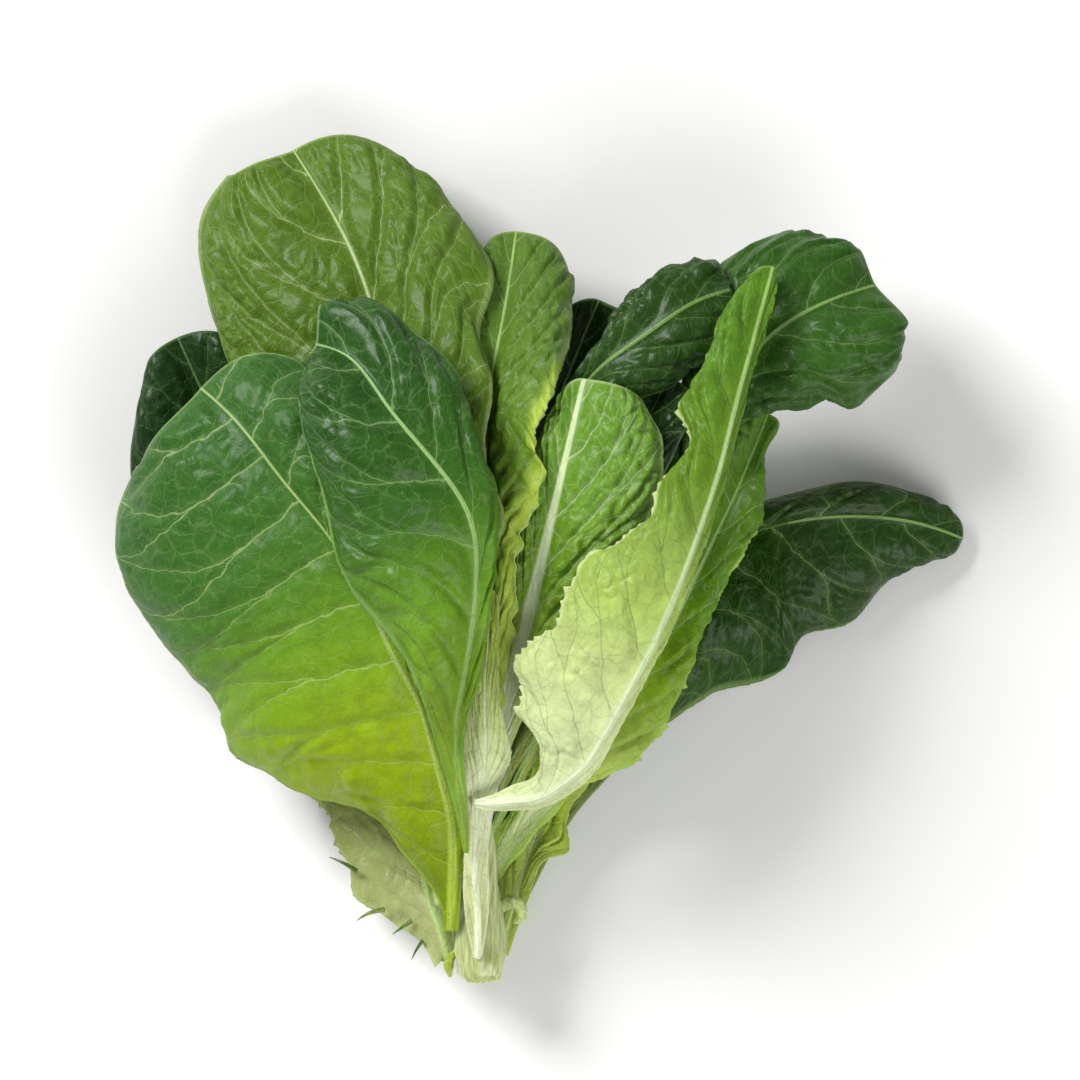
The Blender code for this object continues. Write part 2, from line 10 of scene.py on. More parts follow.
import bpy
import numpy as np
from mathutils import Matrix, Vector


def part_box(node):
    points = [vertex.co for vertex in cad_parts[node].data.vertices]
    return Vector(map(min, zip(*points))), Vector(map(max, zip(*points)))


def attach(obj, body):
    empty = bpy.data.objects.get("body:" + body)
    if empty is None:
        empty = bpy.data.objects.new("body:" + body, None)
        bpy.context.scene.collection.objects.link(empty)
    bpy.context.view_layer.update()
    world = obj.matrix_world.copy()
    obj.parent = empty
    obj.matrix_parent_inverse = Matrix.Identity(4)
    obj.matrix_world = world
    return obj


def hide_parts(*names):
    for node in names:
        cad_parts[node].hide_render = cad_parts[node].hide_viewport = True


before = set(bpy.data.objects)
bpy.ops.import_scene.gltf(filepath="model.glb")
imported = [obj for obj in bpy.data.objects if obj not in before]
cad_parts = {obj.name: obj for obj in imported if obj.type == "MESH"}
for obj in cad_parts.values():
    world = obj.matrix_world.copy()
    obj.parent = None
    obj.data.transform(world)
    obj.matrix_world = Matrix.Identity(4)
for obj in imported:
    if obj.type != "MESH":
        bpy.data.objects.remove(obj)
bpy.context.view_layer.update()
MM = 0.001
REST_SPOT = (12.0, 125.0)  # leaves are measured from the stem's foot, and the head rests here


# %% [markdown]
# The head is looked down on from three metres, so it is drawn almost without perspective. A long lens
# does that. The sensor covers a little more than the head's width at half of its height.

# %% The camera
CAMERA_HEIGHT = 3.0  # metres, as the next three
VIEW_CENTRE = (0.0186, 0.0334)
VIEW_WIDTH = 0.3888  # on a plane at VIEW_PLANE
VIEW_PLANE = 0.05
SENSOR = 36.0  # millimetres

camera = bpy.data.objects.new("camera", bpy.data.cameras.new("camera"))
camera.data.sensor_width = SENSOR
camera.data.lens = SENSOR * (CAMERA_HEIGHT - VIEW_PLANE) / VIEW_WIDTH
camera.location = (*VIEW_CENTRE, CAMERA_HEIGHT)
bpy.context.scene.collection.objects.link(camera)
bpy.context.scene.camera = camera
print("lens:", round(camera.data.lens), "mm")

# %% [markdown]
# Leafy food is lit with big soft lamps, so that the shine on the waxy skin is broad. One large lamp
# on the left beyond the leaf tips models the puckers, a weaker one opposite opens the shadows, and
# a white room does the rest. The plain transform keeps the greens as bright as they are.

# %% The room
ROOM_LIGHT = 0.34
LAMPS = (  # name, place and side in metres, watts
    ("key", (-1.3, 1.2, 1.5), 0.9, 50.0),
    ("fill", (0.9, -1.3, 1.4), 1.4, 24.0),
)

world = bpy.data.worlds.new("white_room")
bpy.context.scene.world = world
world.use_nodes = True
world.node_tree.nodes["Background"].inputs["Color"].default_value = (1.0, 1.0, 1.0, 1.0)
world.node_tree.nodes["Background"].inputs["Strength"].default_value = ROOM_LIGHT
bpy.context.scene.view_settings.view_transform = "Standard"

for lamp_name, lamp_place, lamp_size, lamp_watts in LAMPS:
    lamp = bpy.data.objects.new(lamp_name, bpy.data.lights.new(lamp_name, "AREA"))
    lamp.data.size = lamp_size
    lamp.data.energy = lamp_watts
    lamp.location = lamp_place
    lamp.rotation_euler = (-lamp.location).to_track_quat("-Z", "Y").to_euler()
    bpy.context.scene.collection.objects.link(lamp)
print("lamps:", len(LAMPS))

# %% [markdown]
# A material is a tree of nodes. One helper adds a node with its settings and inputs, and another turns
# a colour as a painter notes it, in sRGB hex, to the linear light that a shader works in.

# %% Colour and node helpers
def linear(code):
    """sRGB hex to linear: each channel is a power of 2.4 above a short straight toe."""
    channels = [int(code[i:i + 2], 16) / 255 for i in (1, 3, 5)]
    return np.array([c / 12.92 if c <= 0.04045 else ((c + 0.055) / 1.055) ** 2.4 for c in channels])


def add(tree, kind, settings=(), inputs=()):
    """A new node, with its settings by name and its inputs by name or number: a value or a socket."""
    made = tree.nodes.new(kind)
    for name, value in dict(settings).items():
        setattr(made, name, value)
    for name, value in dict(inputs).items():
        if isinstance(value, bpy.types.NodeSocket):
            tree.links.new(value, made.inputs[name])
        else:
            made.inputs[name].default_value = value
    return made


# %% [markdown]
# Each leaf is spanned between three curves, its left margin, its midrib and its right margin. They
# are the real leaf's own lines, so a leaf is drawn by pulling at them. The numbers are millimetres
# from the stem's foot, and they are those of the solids.

# %% The leaves
@dataclass
class Leaf:
    """One leaf, in millimetres.

    Curves run from base to tip. Crowns and teeth are given at the base, in the middle and at the tip.
    """

    name: str
    slot: str
    midrib: tuple
    left: tuple  # margin
    right: tuple
    colours: tuple  # of the blade from base to tip
    crown_left: tuple = (0, 5, 3)  # how far each half swells towards the near side
    crown_right: tuple = (0, 5, 3)
    rib: float = 4.5  # height of the rib at the base
    back_up: bool = False  # the ribbed back is the near side
    ruffle: float = 2.5  # height of the waves at the margin
    waves: float = 4.0
    phase: float = 0.0
    teeth: int = 8  # along each margin
    tooth_left: tuple = (0, 0, 0)  # depth of the teeth
    tooth_right: tuple = (0, 0, 0)
    vein_colours: tuple = ("#b8cf84", "#84a868")  # at base and tip
    rib_width: tuple = (2.6, 0.5)  # half width of the pale midrib at base and tip
    veins: int = 11  # side veins along each half
    rise: float = 0.16  # how far they climb on their way out, as a share of the leaf's length
    pucker: float = 1.2  # height of the cushions between the side veins
    blister: float = 0.5  # height of the small blisters
    blister_size: float = 9.0
    serration: float = 0.3  # depth of the fine teeth
    frill: float = 0.4  # height of the fine waves at the margin
    rim: str = ""  # colour of the margin: partly its own paler tissue, partly painted light where a curled margin catches the lamp
    pale_lit_rim_depth: float = 6.0  # how far in that reaches
    cells: tuple = (24, 48)  # across and along, each of FINE steps


LEAVES_UNDER_STEM = (
    Leaf("leaf_floor_middle", "dark_leaf",
         midrib=((7, 5, 15), (8, 25, 6), (10, 55, 0), (12, 100, -1), (20, 150, -1), (34, 200, 5),
                 (52, 246, 14)),
         left=((2, 5, 16), (-2, 25, 7), (-8, 55, 0), (-14, 100, -1), (-10, 150, -1), (12, 200, 5),
               (38, 240, 14)),
         right=((12, 5, 16), (18, 25, 7), (28, 55, 0), (38, 100, -1), (48, 150, -1), (58, 200, 5),
                (68, 240, 14)),
         colours=("#8a9a44", "#2f5218", "#1f3f12", "#1c3812"), crown_left=(0, 0, 2), crown_right=(0, 0, 2),
         ruffle=1.0, phase=0.2),
    Leaf("leaf_far_left", "dark_leaf",
         midrib=((-7, 16, 18), (-13, 34, 8), (-26, 68, 5), (-45, 122, 8), (-64, 160, 13), (-84, 196, 22),
                 (-101, 232, 24)),
         left=((-10, 15, 18), (-18, 36, 8), (-36, 74, 5), (-72, 118, 6), (-108, 152, 10), (-118, 178, 16),
               (-117, 198, 20), (-112, 216, 20)),
         right=((-4, 17, 18), (-8, 36, 8), (-16, 68, 6), (-24, 122, 10), (-36, 166, 16), (-56, 204, 22),
                (-76, 228, 24)),
         colours=("#8a9a44", "#2f5218", "#1f3f12", "#1c3812"), crown_left=(0, 3, 6), crown_right=(0, 4, 4),
         waves=3.0, phase=0.4, vein_colours=("#b8cf84", "#5f8248")),
    Leaf("leaf_floor_left", "light_leaf",
         midrib=((-3, 6, 18), (-10, 30, 13), (-18, 60, 11), (-28, 100, 10), (-41, 150, 10), (-52, 190, 12),
                 (-60, 220, 15)),
         left=((-7, 3, 22), (-12, 11, 20), (-20, 18, 17), (-33, 25, 14), (-41, 42, 11), (-50, 62, 8),
               (-66, 95, 5), (-82, 135, 6), (-88, 170, 10), (-82, 202, 15)),
         right=((1, 7, 16), (-2, 30, 8), (-4, 60, 5), (-10, 100, 4), (-17, 145, 6), (-27, 185, 10),
                (-40, 212, 15)),
         colours=("#a8ae74", "#848f44", "#5c7f24", "#3c6414"), crown_left=(3, 2, 2), crown_right=(0, 2, 2),
         phase=0.6, teeth=11, tooth_left=(3, 2, 0), blister=1.0, serration=2.0),
    Leaf("leaf_far_right", "dark_leaf",
         midrib=((15, 12, 14), (26, 34, 7), (38, 57, 5), (54, 82, 6), (81, 130, 14), (105, 160, 22),
                 (121, 165, 26), (148, 167, 24), (166, 165, 20), (185, 159, 8)),
         left=((12, 13, 14), (22, 37, 7), (33, 60, 6), (48, 86, 8), (74, 132, 20), (93, 157, 27),
               (109, 171, 28), (125, 176, 24), (141, 179, 20), (157, 178, 17), (171, 174, 12)),
         right=((18, 11, 14), (29, 33, 7), (42, 56, 4), (60, 76, 3), (78, 93, 2), (100, 104, 3),
                (119, 110, 6), (125, 122, 10), (145, 130, 9), (154, 140, 8), (166, 148, 7), (177, 153, 5)),
         colours=("#8a9a44", "#2a4f08", "#21430a", "#22400d"), crown_left=(0, 3, 3), crown_right=(0, 6, 4),
         rib=3.5, waves=3.0, phase=0.55, teeth=10, tooth_right=(0, 1, 1), rise=0.12,
         vein_colours=("#a8c470", "#7ea05a"), cells=(32, 60)),
    Leaf("leaf_floor_right", "light_leaf",
         midrib=((16, 8, 18), (23, 30, 11), (31, 55, 7), (43, 92, 5), (57, 132, 7), (69, 172, 10),
                 (78, 204, 14)),
         left=((12, 9, 16), (15, 30, 9), (19, 55, 6), (26, 95, 5), (34, 140, 7), (46, 175, 10),
               (62, 198, 14)),
         right=((19, 7, 20), (25, 25, 17), (29, 36, 15), (33, 42, 14), (42, 44, 12), (40, 52, 11),
                (42, 61, 10), (48, 70, 8), (60, 89, 5), (76, 126, 6), (88, 165, 9), (92, 192, 13)),
         colours=("#c8d868", "#a4c02c", "#7ca414", "#3c6414"), crown_left=(0, 2, 2), crown_right=(2, 2, 2),
         rib=3.5, phase=0.1, teeth=11, tooth_right=(1, 2, 0), blister=0.8,
         vein_colours=("#cfe08c", "#84a868"), serration=1.2),
    # Its middle green is darker partly as painted shade, where the folded front leaf beside it shadows it.
    Leaf("leaf_right", "light_leaf",
         midrib=((12, 36, 20), (19, 47, 25), (30, 59, 31), (46, 77, 38), (67, 108, 48), (88, 148, 54),
                 (103, 180, 52), (113, 204, 42)),
         left=((10, 38, 20), (15, 52, 26), (22, 65, 32), (33, 86, 40), (52, 119, 50), (73, 158, 56),
               (87, 188, 54), (100, 205, 46)),
         right=((15, 34, 20), (22, 43, 25), (30, 53, 29), (38, 62, 31), (45, 69, 32), (56, 73, 33),
                (65, 80, 34), (75, 90, 36), (82, 105, 38), (84, 118, 41), (93, 133, 46), (101, 150, 50),
                (111, 168, 48), (110, 185, 46), (116, 197, 40)),
         colours=("#dfe6c0", "#b4c860", "#7a9c12", "#54800e", "#50761c"), crown_left=(0, 3, 3),
         crown_right=(0, 5, 5), waves=5.0, phase=0.15, teeth=12, tooth_left=(5, 1, 0), tooth_right=(3, 3, 1),
         pucker=1.6, blister=1.6, vein_colours=("#c4d890", "#84a858"), serration=1.8, rim="#9cc030",
         pale_lit_rim_depth=7.0, cells=(32, 60)),
    # The pale olive at its base is partly the stalk's own colour, partly painted light for light coming
    # through the leaves into the shaded hollow by the stem.
    Leaf("leaf_top_right", "dark_leaf",
         midrib=((12, 52, 20), (19, 68, 26), (31, 92, 34), (54, 124, 44), (85, 184, 58), (106, 224, 68),
                 (119, 236, 70), (134, 244, 67), (151, 250, 57)),
         left=((10, 53, 20), (16, 70, 26), (27, 95, 34), (48, 128, 44), (76, 191, 56), (88, 232, 56),
               (95, 257, 50), (109, 267, 46), (120, 270, 42), (133, 267, 40), (144, 261, 40)),
         right=((14, 51, 20), (22, 66, 26), (35, 89, 34), (60, 121, 43), (91, 179, 56), (99, 199, 57),
                (108, 206, 57), (118, 205, 56), (128, 206, 54), (136, 210, 54), (142, 206, 50),
                (151, 213, 48), (159, 221, 46), (158, 236, 46)),
         # The last, lighter green is partly painted light that lifts the rolled lobe at the tip out of its own
         # shade.
         colours=("#b4c060", "#4c6c20", "#21400f", "#305818"), crown_left=(0, 3, 8), crown_right=(0, 4, 16),
         phase=0.3, rise=0.26, pucker=1.8, blister=1.2, vein_colours=("#a4c46c", "#7c9c58"),
         cells=(32, 60)),
    # The pale olive at its base is partly the stalk's own colour, partly painted light for light coming
    # through the leaves into the shaded hollow by the stem.
    Leaf("leaf_inner_right", "dark_leaf",
         midrib=((12, 60, 28), (18, 76, 33), (28, 98, 40), (46, 140, 50), (62, 186, 60), (77, 217, 56)),
         left=((10, 61, 28), (15, 78, 33), (22, 100, 40), (37, 144, 50), (52, 190, 62), (64, 210, 58)),
         right=((14, 59, 28), (21, 74, 33), (34, 95, 40), (56, 138, 50), (75, 182, 58), (86, 205, 54)),
         colours=("#b4c060", "#4c6c20", "#1f4010", "#1c3812"), rib=3.5, ruffle=2.0, phase=0.45, blister=1.0),
    # The pale olive at its base is partly the stalk's own colour, partly painted light for light coming
    # through the leaves into the shaded hollow by the stem.
    Leaf("leaf_top_middle", "dark_leaf",
         midrib=((9, 66, 26), (14, 86, 32), (26, 122, 40), (36, 184, 54), (49, 217, 66), (67, 231, 72),
                 (85, 243, 71), (99, 248, 62)),
         left=((7, 66, 26), (11, 87, 32), (20, 123, 40), (28, 180, 52), (37, 209, 60), (46, 222, 60),
               (56, 234, 58), (69, 248, 56), (86, 254, 54)),
         right=((11, 66, 26), (18, 85, 32), (32, 121, 40), (45, 180, 54), (54, 202, 62), (64, 209, 62),
                (75, 212, 60), (86, 222, 59), (95, 236, 58)),
         colours=("#b4c060", "#4c6c20", "#244a10", "#234410"), crown_left=(0, 3, 8), crown_right=(0, 3, 7),
         ruffle=1.5, phase=0.75, rise=0.26, pucker=1.6, blister=1.2, vein_colours=("#a4c46c", "#6c9048")),
)

LEAVES_OVER_STEM = (
    Leaf("heart_leaf", "light_leaf",
         midrib=((9, 40, 44), (10, 56, 48), (13, 76, 54), (18, 98, 62), (26, 130, 73), (34.5, 166, 80),
                 (41, 194, 81), (46, 216, 77)),
         left=((7, 41, 44), (8, 56, 48), (9, 77, 54), (12, 99, 61), (16, 128, 71), (20, 152, 77),
               (25, 174, 79), (29, 190, 79), (35, 204, 78)),
         right=((11, 40, 44), (13, 56, 48), (17, 75, 54), (25, 96, 62), (38, 122, 73), (52, 142, 80),
                (64, 158, 84), (73, 176, 85), (74, 194, 83), (66, 209, 78)),
         colours=("#e0e8b8", "#a4c040", "#6c941a", "#64902a"), crown_left=(0, 1, 1), crown_right=(0, 3, 4),
         ruffle=1.0, waves=6.0, phase=0.9, teeth=12, tooth_right=(0, 0, 1), veins=9, rise=0.34, pucker=1.9,
         blister=1.6, blister_size=8.0, vein_colours=("#f0f6dc", "#d0e2ac"), rib_width=(7.5, 1.1),
         serration=0.6, rim="#b0cc48", pale_lit_rim_depth=4.0, cells=(28, 52)),
    # Its rim and its light middle greens are partly its own yellow-green frill, partly painted light lifting
    # the shade the front leaf casts on it.
    Leaf("leaf_upright", "green_leaf",
         midrib=((5, 62, 47), (8, 92, 56), (13, 137, 68), (12, 198, 66), (14, 219, 61), (17, 236, 54),
                 (22, 270, 36)),
         left=((3, 63, 47), (4, 96, 54), (3, 151, 60), (1, 194, 57), (3, 232, 46), (9, 256, 34)),
         right=((8, 61, 48), (16, 90, 62), (20, 120, 76), (23, 148, 83), (27, 168, 84), (32, 182, 83),
                (29, 194, 79), (33, 206, 72), (37, 216, 64), (41, 228, 55), (42, 246, 40)),
         colours=("#a8c444", "#84a432", "#628620", "#527424"), crown_left=(0, 4, 4), crown_right=(0, 4, 5),
         ruffle=1.2, waves=5.0, phase=0.65, teeth=11, rise=0.3, pucker=1.8, blister=1.3,
         vein_colours=("#b8cf84", "#98b868"), serration=0.6, frill=1.2, rim="#bcd44c", pale_lit_rim_depth=8.0,
         cells=(28, 60)),
    Leaf("leaf_top_left", "green_leaf",
         midrib=((-5, 26, 30), (-8, 70, 30), (-10, 119, 38), (-15, 166, 46), (-22, 198, 50), (-30, 243, 46),
                 (-41, 270, 37), (-59, 300, 22)),
         left=((-9, 26, 29), (-22, 75, 24), (-40, 130, 26), (-62, 180, 28), (-83, 225, 28), (-93, 260, 20),
               (-92, 277, 18), (-83, 291, 18)),
         right=((-1, 27, 29), (0, 76, 32), (6, 112, 42), (9, 140, 52), (11, 154, 58), (17, 162, 64),
                (17, 172, 66), (13, 182, 66), (12, 198, 64), (13, 217, 60), (9, 232, 54), (14, 250, 46),
                (8, 267, 38), (-4, 282, 30)),
         colours=("#56740c", "#4c6c08", "#4c6b12", "#52701c"), crown_left=(0, 7, 6), crown_right=(0, 5, 6),
         ruffle=1.5, phase=0.5, teeth=10, veins=9, rise=0.34, pucker=2.2, blister=0.9,
         vein_colours=("#bcd088", "#acc27c"), rib_width=(3.4, 0.5), cells=(36, 64)),
    Leaf("leaf_left", "green_leaf",
         midrib=((-2, 17, 34), (-1, 40, 43), (-2, 60, 52), (-8, 84, 63), (-13, 101, 71), (-20, 114, 78),
                 (-31, 138, 84), (-45, 161, 84), (-61, 180, 79), (-77, 200, 72), (-91, 213, 60)),
         left=((-4, 16, 33), (-5, 25, 35), (-8, 32, 36), (-16, 42, 36), (-34, 60, 34), (-52, 66, 33),
               (-66, 73, 32), (-83, 83, 32), (-84, 94, 33), (-95, 110, 36), (-107, 122, 38), (-117, 138, 40),
               (-122, 156, 42), (-121, 172, 42), (-115, 185, 42)),
         right=((1, 17, 34), (3, 40, 42), (4, 60, 50), (-3, 84, 60), (-9, 102, 68), (-14, 117, 78),
                (-24, 141, 87), (-34, 166, 88), (-37, 184, 83), (-40, 200, 78), (-46, 218, 66)),
         colours=("#6c8606", "#849c08", "#8aa810", "#66901e", "#406e22", "#326020"), crown_left=(0, 10, 8),
         crown_right=(0, 1, 6), ruffle=1.6, phase=0.85, teeth=13, tooth_left=(1, 1, 0),
         rise=0.06, pucker=1.6, vein_colours=("#a4bc38", "#98b474"), rib_width=(2.0, 0.5),
         cells=(36, 64)),
    Leaf("heart_leaf_folded", "heart_leaf",
         midrib=((8, 7, 33), (8, 24, 37), (7, 40, 43), (8, 54, 48), (9, 66, 52), (11, 80, 57), (11, 100, 64),
                 (12, 120, 70), (13, 141, 72)),
         left=((6.5, 8, 33), (3.5, 23, 37), (3, 40, 43), (4, 54, 48), (4, 66, 52), (3, 79, 57), (5, 97, 64),
               (7, 118, 70), (9, 134, 72)),
         right=((9.5, 8, 33), (12, 23, 37), (12, 40, 43), (12, 54, 48), (14, 67, 52), (20, 79, 57),
                (19, 88, 60), (16, 103, 66), (16, 118, 70), (16, 134, 72)),
         colours=("#b8c17c", "#d4dca4", "#e0e8bc", "#c8d88c", "#a4bc44"), crown_left=(0, 1, 0),
         crown_right=(0, 1, 0), rib=3.0, ruffle=0.8, phase=0.35, teeth=10, tooth_left=(0, 1, 1),
         tooth_right=(0, 1, 1), rise=0.3, vein_colours=("#e8efd0", "#d4e0b0"), rib_width=(1.5, 0.5),
         serration=0.6),
    # Its pale rim is partly the margin's own colour, partly painted light where the curled margin catches the
    # lamp.
    Leaf("leaf_front_right", "heart_leaf",
         midrib=((6, 64, 54), (13, 64, 57), (21, 65, 61), (31, 67, 67), (40, 73, 75), (48, 80, 81),
                 (54, 90, 87), (62, 105, 91), (72, 124, 96), (82, 148, 99), (89, 168, 99), (94, 183, 98),
                 (99, 202, 95), (107, 231, 87), (114, 256, 75)),
         left=((6, 65, 54), (13, 67, 57), (20, 70, 60), (27, 73, 65), (31, 78, 70), (30, 85, 74),
               (26, 92, 78), (22, 98, 80), (24, 106, 82), (21, 116, 84), (32, 125, 88), (39, 137, 91),
               (44, 149, 93), (60, 159, 96), (70, 169, 97), (74, 180, 95), (84, 193, 92), (80, 202, 90),
               (87, 217, 87), (94, 235, 81), (105, 250, 74)),
         right=((6, 63, 54), (13, 61.5, 56), (21, 61.5, 58), (33, 63, 63), (43, 69, 70), (51, 77, 76),
                (57, 87, 81), (65, 103, 85), (75, 123, 90), (85, 147, 93), (92, 167, 93), (96, 182, 92),
                (101, 201, 89), (109, 230, 83), (113, 245, 78)),
         colours=("#d0dca8", "#ccd99c", "#a6c05c", "#668a20", "#588420"), crown_left=(0, 5, 3),
         crown_right=(0, 1, 1), rib=5.0, back_up=True, ruffle=1.0, waves=6.0, phase=0.7, teeth=14,
         tooth_left=(2, 2, 1), rise=0.22, pucker=1.4, blister=0.9, blister_size=8.0,
         vein_colours=("#e8f0cc", "#98bc64"), rib_width=(2.2, 1.0), serration=2.4, rim="#d6e29c",
         pale_lit_rim_depth=3.0, cells=(32, 60)),
    Leaf("leaf_front_left", "dark_leaf",
         midrib=((4, 46, 50), (3, 62, 56), (1, 78, 64), (1, 94, 75), (5, 119, 90), (8, 145, 99),
                 (5, 168, 104), (-3, 181, 106), (-12, 192, 107), (-22, 204, 106), (-29, 214, 103),
                 (-37, 223, 97), (-49, 228, 88)),
         left=((3, 46, 50), (0, 62, 56), (-6, 83, 66), (-11, 101, 77), (-17, 114, 85), (-25, 126, 88),
               (-35, 139, 91), (-42, 153, 94), (-46, 172, 95), (-50, 187, 94), (-55, 204, 90),
               (-55, 213, 86), (-52, 222, 82)),
         right=((5, 46, 50), (5, 57, 55), (4, 70, 61), (3.5, 84, 69), (5, 97, 77), (9, 108, 83),
                (11, 118, 87), (13, 131, 91), (13, 147, 94), (13, 162, 96), (13, 177, 97), (9, 192, 97),
                (4, 206, 95), (1, 217, 92), (-8, 228, 88), (-20, 237, 82), (-34, 242, 77), (-45, 240, 77)),
         colours=("#7c9c1c", "#72921a", "#64901e", "#34601a", "#264e16"), crown_left=(0, 9, 8),
         crown_right=(0, 3, 10), rib=3.0, ruffle=1.2, phase=0.05, teeth=10, tooth_right=(1, 1, 0), veins=9,
         rise=0.22, pucker=2.4, vein_colours=("#86a638", "#98bc7c"), rib_width=(2.4, 0.45),
         rim="#6c9a3c", pale_lit_rim_depth=3.0, cells=(32, 60)),
)
print("leaves:", len(LEAVES_UNDER_STEM) + len(LEAVES_OVER_STEM))

# %% [markdown]
# A margin drawn by a few points has to run on smoothly through them, as a leaf's does. A natural cubic
# spline is the curve that a thin springy lath takes when it is held at those points.

# %% Curves
SAMPLES = 240  # along a curve
FIRST_READING = 4  # places first read on a curve, for each one kept


def curve_through(points, count):
    """Natural cubic spline through the points, read at count places evenly spaced along its length."""
    p = np.array(points, float)
    chord = np.concatenate([[0.0], np.cumsum(np.linalg.norm(np.diff(p, axis=0), axis=1))])
    gap = np.diff(chord)[:, None]
    system = np.eye(len(p))
    slopes = np.zeros_like(p)
    for i in range(1, len(p) - 1):
        system[i, i - 1:i + 2] = gap[i - 1, 0], 2 * (gap[i - 1, 0] + gap[i, 0]), gap[i, 0]
        slopes[i] = 6 * ((p[i + 1] - p[i]) / gap[i] - (p[i] - p[i - 1]) / gap[i - 1])
    bend = np.linalg.solve(system, slopes)
    t = np.linspace(0.0, chord[-1], FIRST_READING * count)
    k = np.clip(np.searchsorted(chord, t, side="right") - 1, 0, len(p) - 2)
    before, after, h = (t - chord[k])[:, None], (chord[k + 1] - t)[:, None], gap[k]
    line = (bend[k] * after**3 + bend[k + 1] * before**3) / (6 * h)
    line += (p[k] / h - bend[k] * h / 6) * after + (p[k + 1] / h - bend[k + 1] * h / 6) * before
    walked = np.concatenate([[0.0], np.cumsum(np.linalg.norm(np.diff(line, axis=0), axis=1))])
    even = np.linspace(0.0, walked[-1], count)
    return np.stack([np.interp(even, walked, line[:, axis]) for axis in range(3)], axis=1)


def unit(vectors):
    return vectors / np.linalg.norm(vectors, axis=-1, keepdims=True)


def eased(base, middle, tip, v):
    """Parabola through the values at v = 0, 0.5 and 1."""
    return base * (1 - v) * (1 - 2 * v) + middle * 4 * v * (1 - v) + tip * v * (2 * v - 1)


def ramp(x, start, end):
    """0 before start and 1 after end, with an S between them."""
    share = np.clip((x - start) / (end - start), 0.0, 1.0)
    return share * share * (3 - 2 * share)


print("curve test:", curve_through(((0, 0, 0), (1, 1, 0), (2, 0, 0)), 3).round(2).tolist())

# %% [markdown]
# Nothing on a leaf repeats exactly, so its measures drift. Drift that is smooth comes from random
# numbers at the crossings of a lattice, blended in between. Blisters are the cells round scattered
# points, as in soap foam, each swollen in its middle and held down along its border.

# %% Drift and cells
LATTICE = 64  # crossings each way, after which the numbers repeat


def drift(x, y, seed):
    """Random numbers from -1 to 1 at whole-number places, blended by an S-shaped share between them.

    Each seed has numbers of its own.
    """
    table = np.random.default_rng(seed).uniform(-1, 1, (LATTICE, LATTICE))
    i, j = np.floor(x).astype(int), np.floor(y).astype(int)
    a, b = ramp(x - i, 0, 1), ramp(y - j, 0, 1)
    i, j = i % LATTICE, j % LATTICE
    i1, j1 = (i + 1) % LATTICE, (j + 1) % LATTICE
    low = table[i, j] * (1 - a) + table[i1, j] * a
    high = table[i, j1] * (1 - a) + table[i1, j1] * a
    return low * (1 - b) + high * b


def border_distance(x, y, seed):
    """Second shortest minus shortest distance to points scattered one in each unit square."""
    shift = np.random.default_rng(seed).uniform(0.1, 0.9, (LATTICE, LATTICE, 2))
    i, j = np.floor(x).astype(int), np.floor(y).astype(int)
    found = []
    for di in (-1, 0, 1):
        for dj in (-1, 0, 1):
            spot = shift[(i + di) % LATTICE, (j + dj) % LATTICE]
            found.append(np.hypot(i + di + spot[..., 0] - x, j + dj + spot[..., 1] - y))
    nearest = np.sort(found, axis=0)
    return nearest[1] - nearest[0]


# %% [markdown]
# A blade is a surface of two numbers: u runs across it, from -1 at the left margin over the midrib to
# 1 at the right margin, and v along it. It could be a plane bent by hand or by a cage, but the
# three curves give its outline exactly, which is what a leaf is known by.

# %% The blade's surface
TIP_ROUNDNESS = 0.97  # a tip's outline is almost a quarter of an ellipse on each side
CROWN_SKEW = 1.25  # puts the highest line of each half a little nearer to its margin
TOOTH_REACH = 5  # how fast a tooth's push fades inwards from the margin
ROOMY = 16.0  # half width from which a blade has its full crown and ruffles
MARGIN_SHIFT = 0.31  # share of a wave by which the two margins' ruffles are out of step
FRILL_REACH = 8  # how fast the fine waves fade inwards
FRILL_WAVES = 3.7  # fine waves for each ruffle
FRILL_CHANGES = (9, 14)  # times along a leaf that their pace and their height change
FINE_TEETH = 4.3  # fine teeth for each big one
FINE_REACH = 4 * TOOTH_REACH
FINE_CHANGES = (2.3, 3.1)  # times in a big tooth that their pace and their depth change
FINE_PACE = 0.6  # of a fine tooth, by which they come early or late
FINE_LEVEL = 0.4  # of a fine tooth's depth that is cut into the blade


def spans(leaf):
    """The midrib and, for each half, what leads from it to the margin: sideways, onwards and up."""
    midrib = curve_through(leaf.midrib, SAMPLES)
    ahead = unit(np.gradient(midrib, axis=0))
    halves = []
    for sign, margin in ((-1, leaf.left), (1, leaf.right)):
        reach = curve_through(margin, SAMPLES) - midrib
        onward = ahead * np.sum(reach * ahead, axis=1, keepdims=True)
        across = reach - onward
        halves.append((sign, across, onward, unit(sign * np.cross(across, ahead))))
    return midrib, halves


def at(values, v):
    """The rows of values at v, blended between neighbours."""
    place = np.clip(v, 0.0, 1.0) * (SAMPLES - 1)
    return np.stack([np.interp(place, np.arange(SAMPLES), column) for column in values.T], axis=-1)


